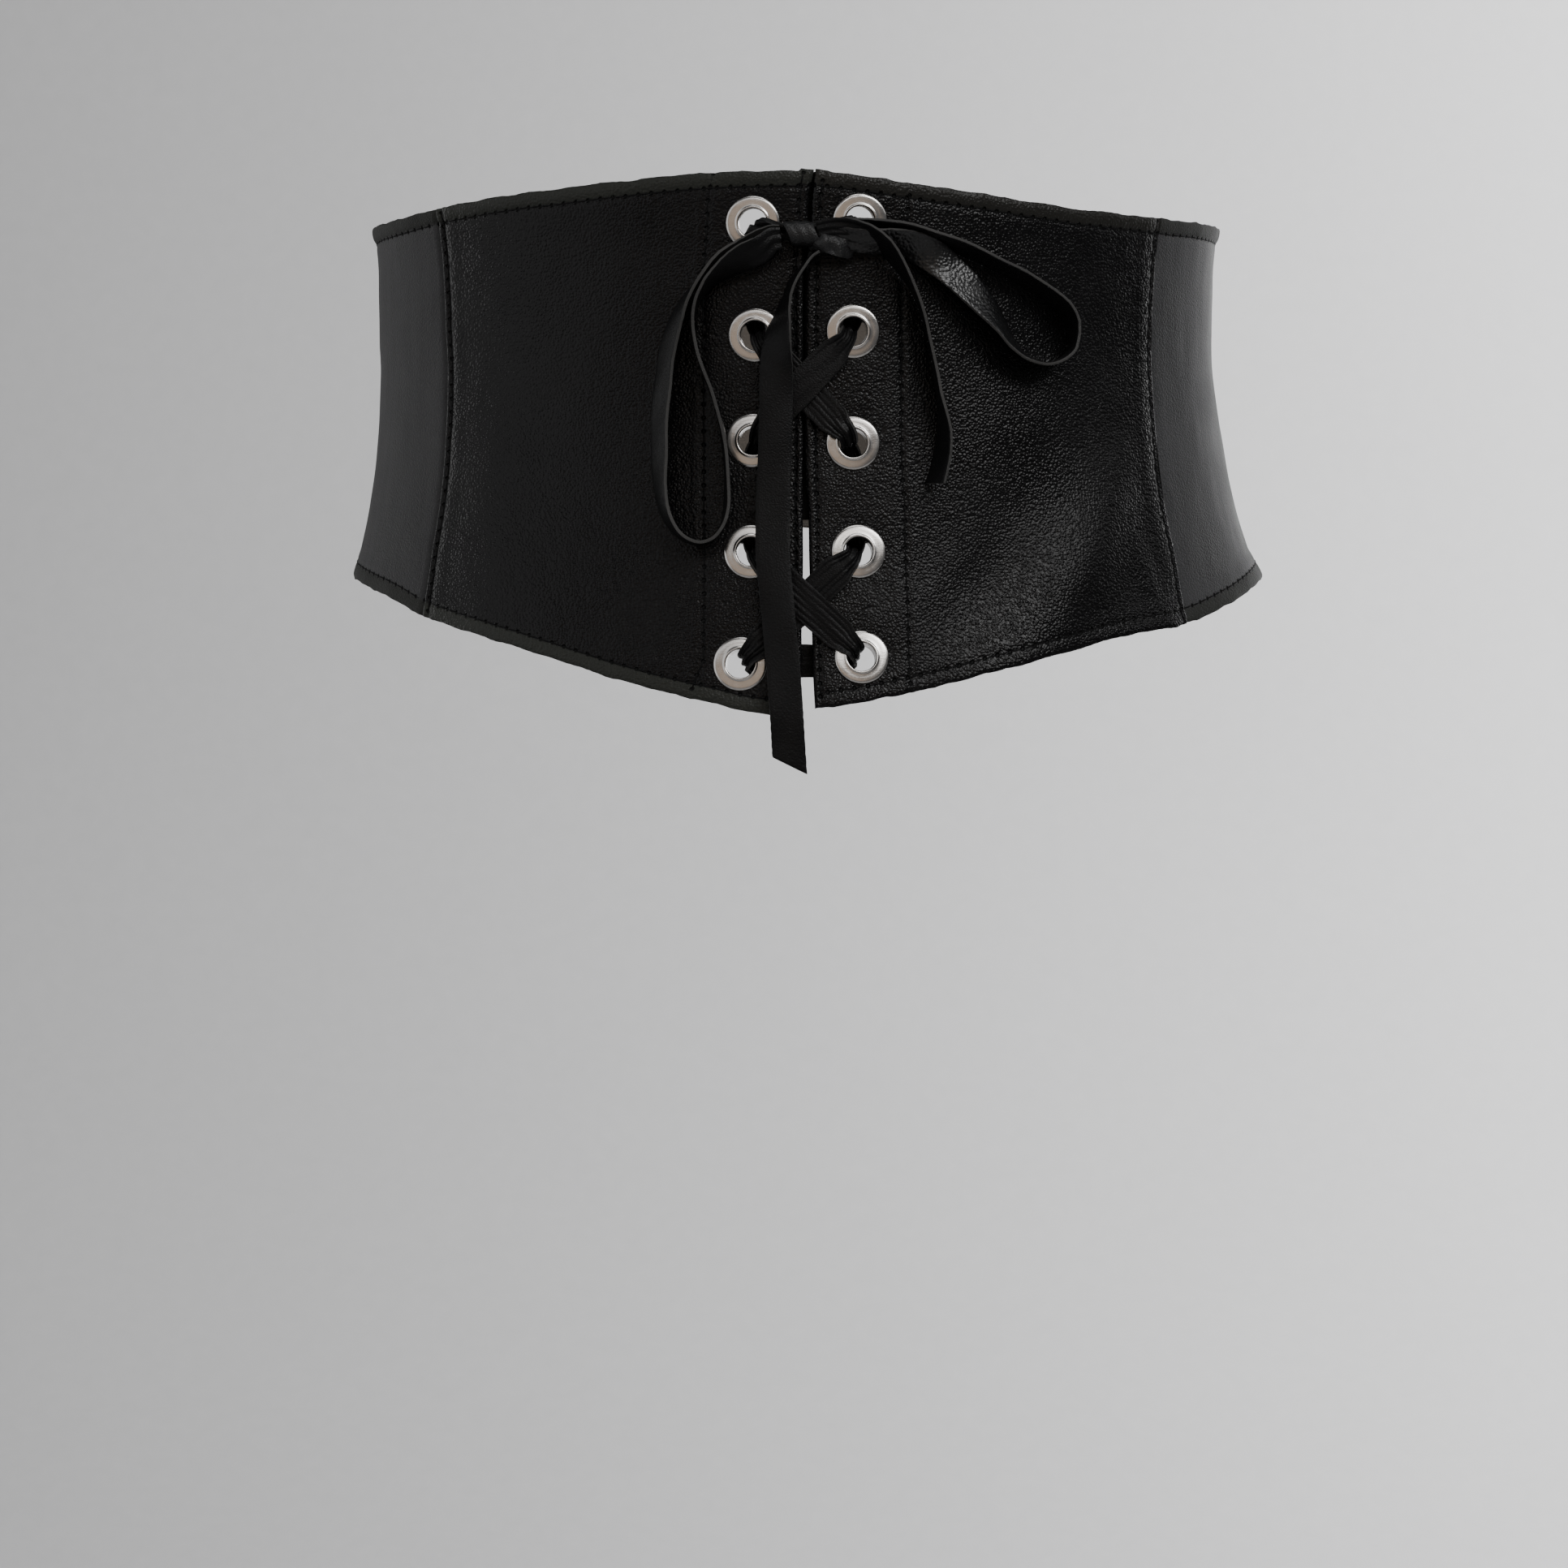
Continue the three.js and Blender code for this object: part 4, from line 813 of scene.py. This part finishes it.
for x, z, distance in ((-3.5, 28.4, 2.3), (-6.2, 28.7, 2.3), (-8.4, 29.3, 2.5), (-11, 30.2, 2.6)):
    add_row(in_front(x, z, distance), (0, 0, 1), 1)
first, second = stops[order[0]], stops[order[1]]
through_hole(first, heading(knot_at, first[0]), heading(first[0], second[0]), True)
for n, (front, over, ribs) in enumerate(zip(in_front_of, lies_over, is_ribbed)):
    start, stop = stops[order[n]], stops[order[n + 1]]
    way = heading(start[0], stop[0])
    across = across_of(way)
    at_rim = over_rim if front else -behind_roll
    low = CLEARANCE + LACE_THICKNESS if front else -(PANEL_THICKNESS + 0.5 + 2 * LACE_THICKNESS)
    middle_off = low + LACE_THICKNESS + 2 * CLEARANCE if over else low
    marks = [(0.72 * hole, at_rim, 0.85), (rim - 0.35 * hole, at_rim, 0.45),
             (rim + 0.2 * hole, 0.95 * at_rim, 0.1)]
    for along, distance, share in marks:
        add_row(beside(start, way, along, distance), across, share, ribs)
    half_way = (start[0] + stop[0]) / 2
    add_row(in_front(half_way[0], half_way[2], middle_off), across, 0, ribs)
    for along, distance, share in marks[::-1]:
        add_row(beside(stop, -way, along, distance), across, share, ribs)
    next_way = heading(stop[0], stops[order[n + 2]][0] if n < 8 else knot_at)
    through_hole(stop, way, next_way, front)
for x, z, distance in ((15.4, 31, 2.6), (12.4, 30.3, 2.7), (9, 29.4, 2.5), (5.4, 28.7, 2.3),
                       (2.5, 28.4, 2.3)):
    add_row(in_front(x, z, distance), (0, 0, 1), 1)

route = smooth_route([row[0] for row in lace_rows], 7)
marks, ways, edges, faces = strip_frame(route, [row[1] for row in lace_rows])
gather, ribbed = (spread_over(marks, [row[k] for row in lace_rows]) for k in (2, 3))
widths = LACE_WIDTH + (FOLDED_WIDTH - LACE_WIDTH) * gather
along = lengths_along(route)
shares = np.linspace(-1, 1, 33)
places = np.zeros((len(route), len(shares), 3))
surface = np.zeros((len(route), len(shares), 2))
for j, share in enumerate(shares):
    rib = np.sin(share * 19 + 0.9 * np.sin(along / 5)) * (0.65 + 0.35 * np.sin(3.7 * share + along / 4.3))
    rib = rib * (0.03 + 0.07 * ribbed + 0.16 * gather) + 0.05 * np.sin(share * 7 + along / 3.1)
    curl = gather * 0.5 * math.cos(2 * math.pi * share) - 0.25 * gather
    places[:, j] = route + edges * (share * widths / 2)[:, None] + faces * (rib + curl)[:, None]
    surface[:, j, 0] = along
    surface[:, j, 1] = share * LACE_WIDTH / 2
lacing = hide_sheet("lace_through_eyelets", places, surface, (lace_grain, lace_grain, lace_cut),
                    LACE_THICKNESS, 0.2)
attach(lacing, "root")
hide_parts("lacing")


# The knot: the lace goes once round everything as a short band, lies over itself, and comes out below on the
# right as a small creased lobe. Inside it the strips are pressed together.
knot_middle = in_front(-0.3, 27.6, 0.3 + 0.9 + 3.6)
turns = np.linspace(math.radians(-205), math.radians(205), 71)
shares = np.linspace(-1, 1, 17)
places = np.zeros((len(turns), len(shares), 3))
surface = np.zeros((len(turns), len(shares), 2))
for i, turn in enumerate(turns):
    wind = 1 + 0.05 * turn / math.pi
    for j, share in enumerate(shares):
        pinch = 1 - 0.1 * share * share + 0.035 * math.cos(9 * share + turn)
        slant = 1.4 * math.sin(turn)
        places[i, j] = (knot_middle[0] + 0.9 + share * (4.7 - 0.4 * math.cos(turn) ** 2) - slant,
                        knot_middle[1] - 3.1 * wind * pinch * math.cos(turn),
                        knot_middle[2] + 3.55 * wind * pinch * math.sin(turn) + 0.25 * share * math.cos(turn))
        surface[i, j] = (turn * 3.6, share * 4.9)
# The band and the lobe wear the lighter knot lace, whose lighter colour is a painted highlight.
knot = hide_sheet("knot_band", places, surface, (lace_knot_painted_light, lace_knot_painted_light, lace_cut), LACE_THICKNESS, 0.2)
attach(knot, "root")
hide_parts("bow_knot")

lobe = [(3.6, 25.6, 5, 4.6), (6.5, 25, 6.6, 5.4), (9.5, 24.3, 7.1, 6.4), (12.5, 23.6, 6.4, 6.6),
        (14.9, 23.2, 4.9, 5.8), (15.9, 23.2, 3.2, 4.6), (14.8, 23.6, 2.1, 3.6)]
route = smooth_route([in_front(x, z, distance) for x, z, distance, _ in lobe], 7)
tall = spread_over(np.linspace(0, len(lobe) - 1, len(route)), [row[3] for row in lobe])
shares = np.linspace(-1, 1, 17)
places = np.zeros((len(route), len(shares), 3))
for j, share in enumerate(shares):
    crumple = 0.6 * uneven(np.arange(len(route)) * 0.5, np.full(len(route), share * 3.0), 3, 6)
    forwards = crumple + 0.9 * (1 - share * share)
    places[:, j] = route + np.stack([0.1 * crumple, -forwards, share * tall / 2], -1)
knot_end = hide_sheet("knot_end", places, places[..., [0, 2]], (lace_knot_painted_light, lace_knot_painted_light, lace_cut),
                      LACE_THICKNESS, 0.2)
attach(knot_end, "root")

form = bmesh.new()
bmesh.ops.create_uvsphere(form, u_segments=24, v_segments=16, radius=0.001)
for vertex in form.verts:
    vertex.co = vertex.co * Vector((4.6, 2.5, 2.9)) + Vector(knot_middle) * 0.001
knot_inside = piece_of(form, "knot_inside", [lace_flesh])
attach(knot_inside, "root")


# The studio: a pale floor that turns up into a wall well behind the belt, brighter on the right, a window
# from the right above the camera, weaker lights in front and on the left, and lights at the sides and behind
# that draw the sheen along the side panels.
FLOOR, NEAR_END, FLAT, BEND = -0.75, -2.9, 4.3, 0.9
form = bmesh.new()
bmesh.ops.create_grid(form, x_segments=40, y_segments=60, size=1.0)
for vertex in form.verts:
    across, along = vertex.co.x * 4, (vertex.co.y + 1) * 3.2
    turn = min(max((along - FLAT) / BEND, 0), math.pi / 2)
    depth = NEAR_END + min(along, FLAT) + BEND * math.sin(turn)
    rise = BEND * (1 - math.cos(turn)) + max(along - FLAT - BEND * math.pi / 2, 0)
    vertex.co = Vector((across, depth, FLOOR + rise))
plaster = bpy.data.materials.new("studio_plaster")
plaster.use_nodes = True
nodes, links = plaster.node_tree.nodes, plaster.node_tree.links
shader = nodes["Principled BSDF"]
shader.inputs["Roughness"].default_value = 0.85
place = nodes.new("ShaderNodeTexCoord")
mottle = set_inputs(nodes.new("ShaderNodeTexNoise"), Scale=90, Detail=4)
links.new(place.outputs["Object"], mottle.inputs["Vector"])
tone = nodes.new("ShaderNodeValToRGB")
tone.color_ramp.elements[0].color = (0.42, 0.42, 0.424, 1)
tone.color_ramp.elements[1].color = (0.46, 0.46, 0.464, 1)
links.new(mottle.outputs["Fac"], tone.inputs["Fac"])
links.new(tone.outputs["Color"], shader.inputs["Base Color"])
studio = piece_of(form, "studio_floor", [plaster])

MIDDLE = (0, 0, -0.05)


def studio_light(name, place, size, watts, aim=MIDDLE, colour=(1, 1, 1)):
    data = bpy.data.lights.new(name, "AREA")
    data.shape = "RECTANGLE"
    data.size, data.size_y = size
    data.energy = watts
    data.color = colour
    light = bpy.data.objects.new(name, data)
    light.location = place
    light.rotation_euler = (Vector(aim) - Vector(place)).to_track_quat("-Z", "Y").to_euler()
    light.visible_camera = False
    bpy.context.scene.collection.objects.link(light)


studio_light("window_light", (1.0, -1.37, 1.03), (1.0, 0.54), 15)
studio_light("front_light", (-0.4, -2.9, 0.06), (2.4, 1.1), 2.9, colour=(1, 0.76, 0.56))
studio_light("high_front_light", (0.38, -2.68, 1.13), (1.66, 0.5), 6.5, colour=(1, 0.96, 0.92))
studio_light("high_left_light", (-1.0, -2.5, 0.98), (1.4, 0.6), 2)
studio_light("right_side_light", (1.63, -0.06, 0.72), (0.9, 0.5), 1.5)
studio_light("right_back_light", (1.4, 0.95, 0.3), (0.8, 1.0), 4.5)
studio_light("left_light", (-2.0, -0.95, 0.35), (2.2, 2.2), 11.3)
studio_light("left_side_light", (-1.75, 0.9, 0.1), (1.0, 1.4), 6.5)
studio_light("top_light", (0.1, -0.7, 1.7), (1.0, 0.8), 6, aim=(0, 0, 0))
studio_light("wall_light", (1.55, 1.45, 0.5), (0.7, 1.0), 96, aim=(0.78, 2.3, 0.1))
world = bpy.data.worlds.new("studio_air")
bpy.context.scene.world = world
world.use_nodes = True
world.node_tree.nodes["Background"].inputs["Color"].default_value = (0.95, 0.95, 0.96, 1)
world.node_tree.nodes["Background"].inputs["Strength"].default_value = 0.1
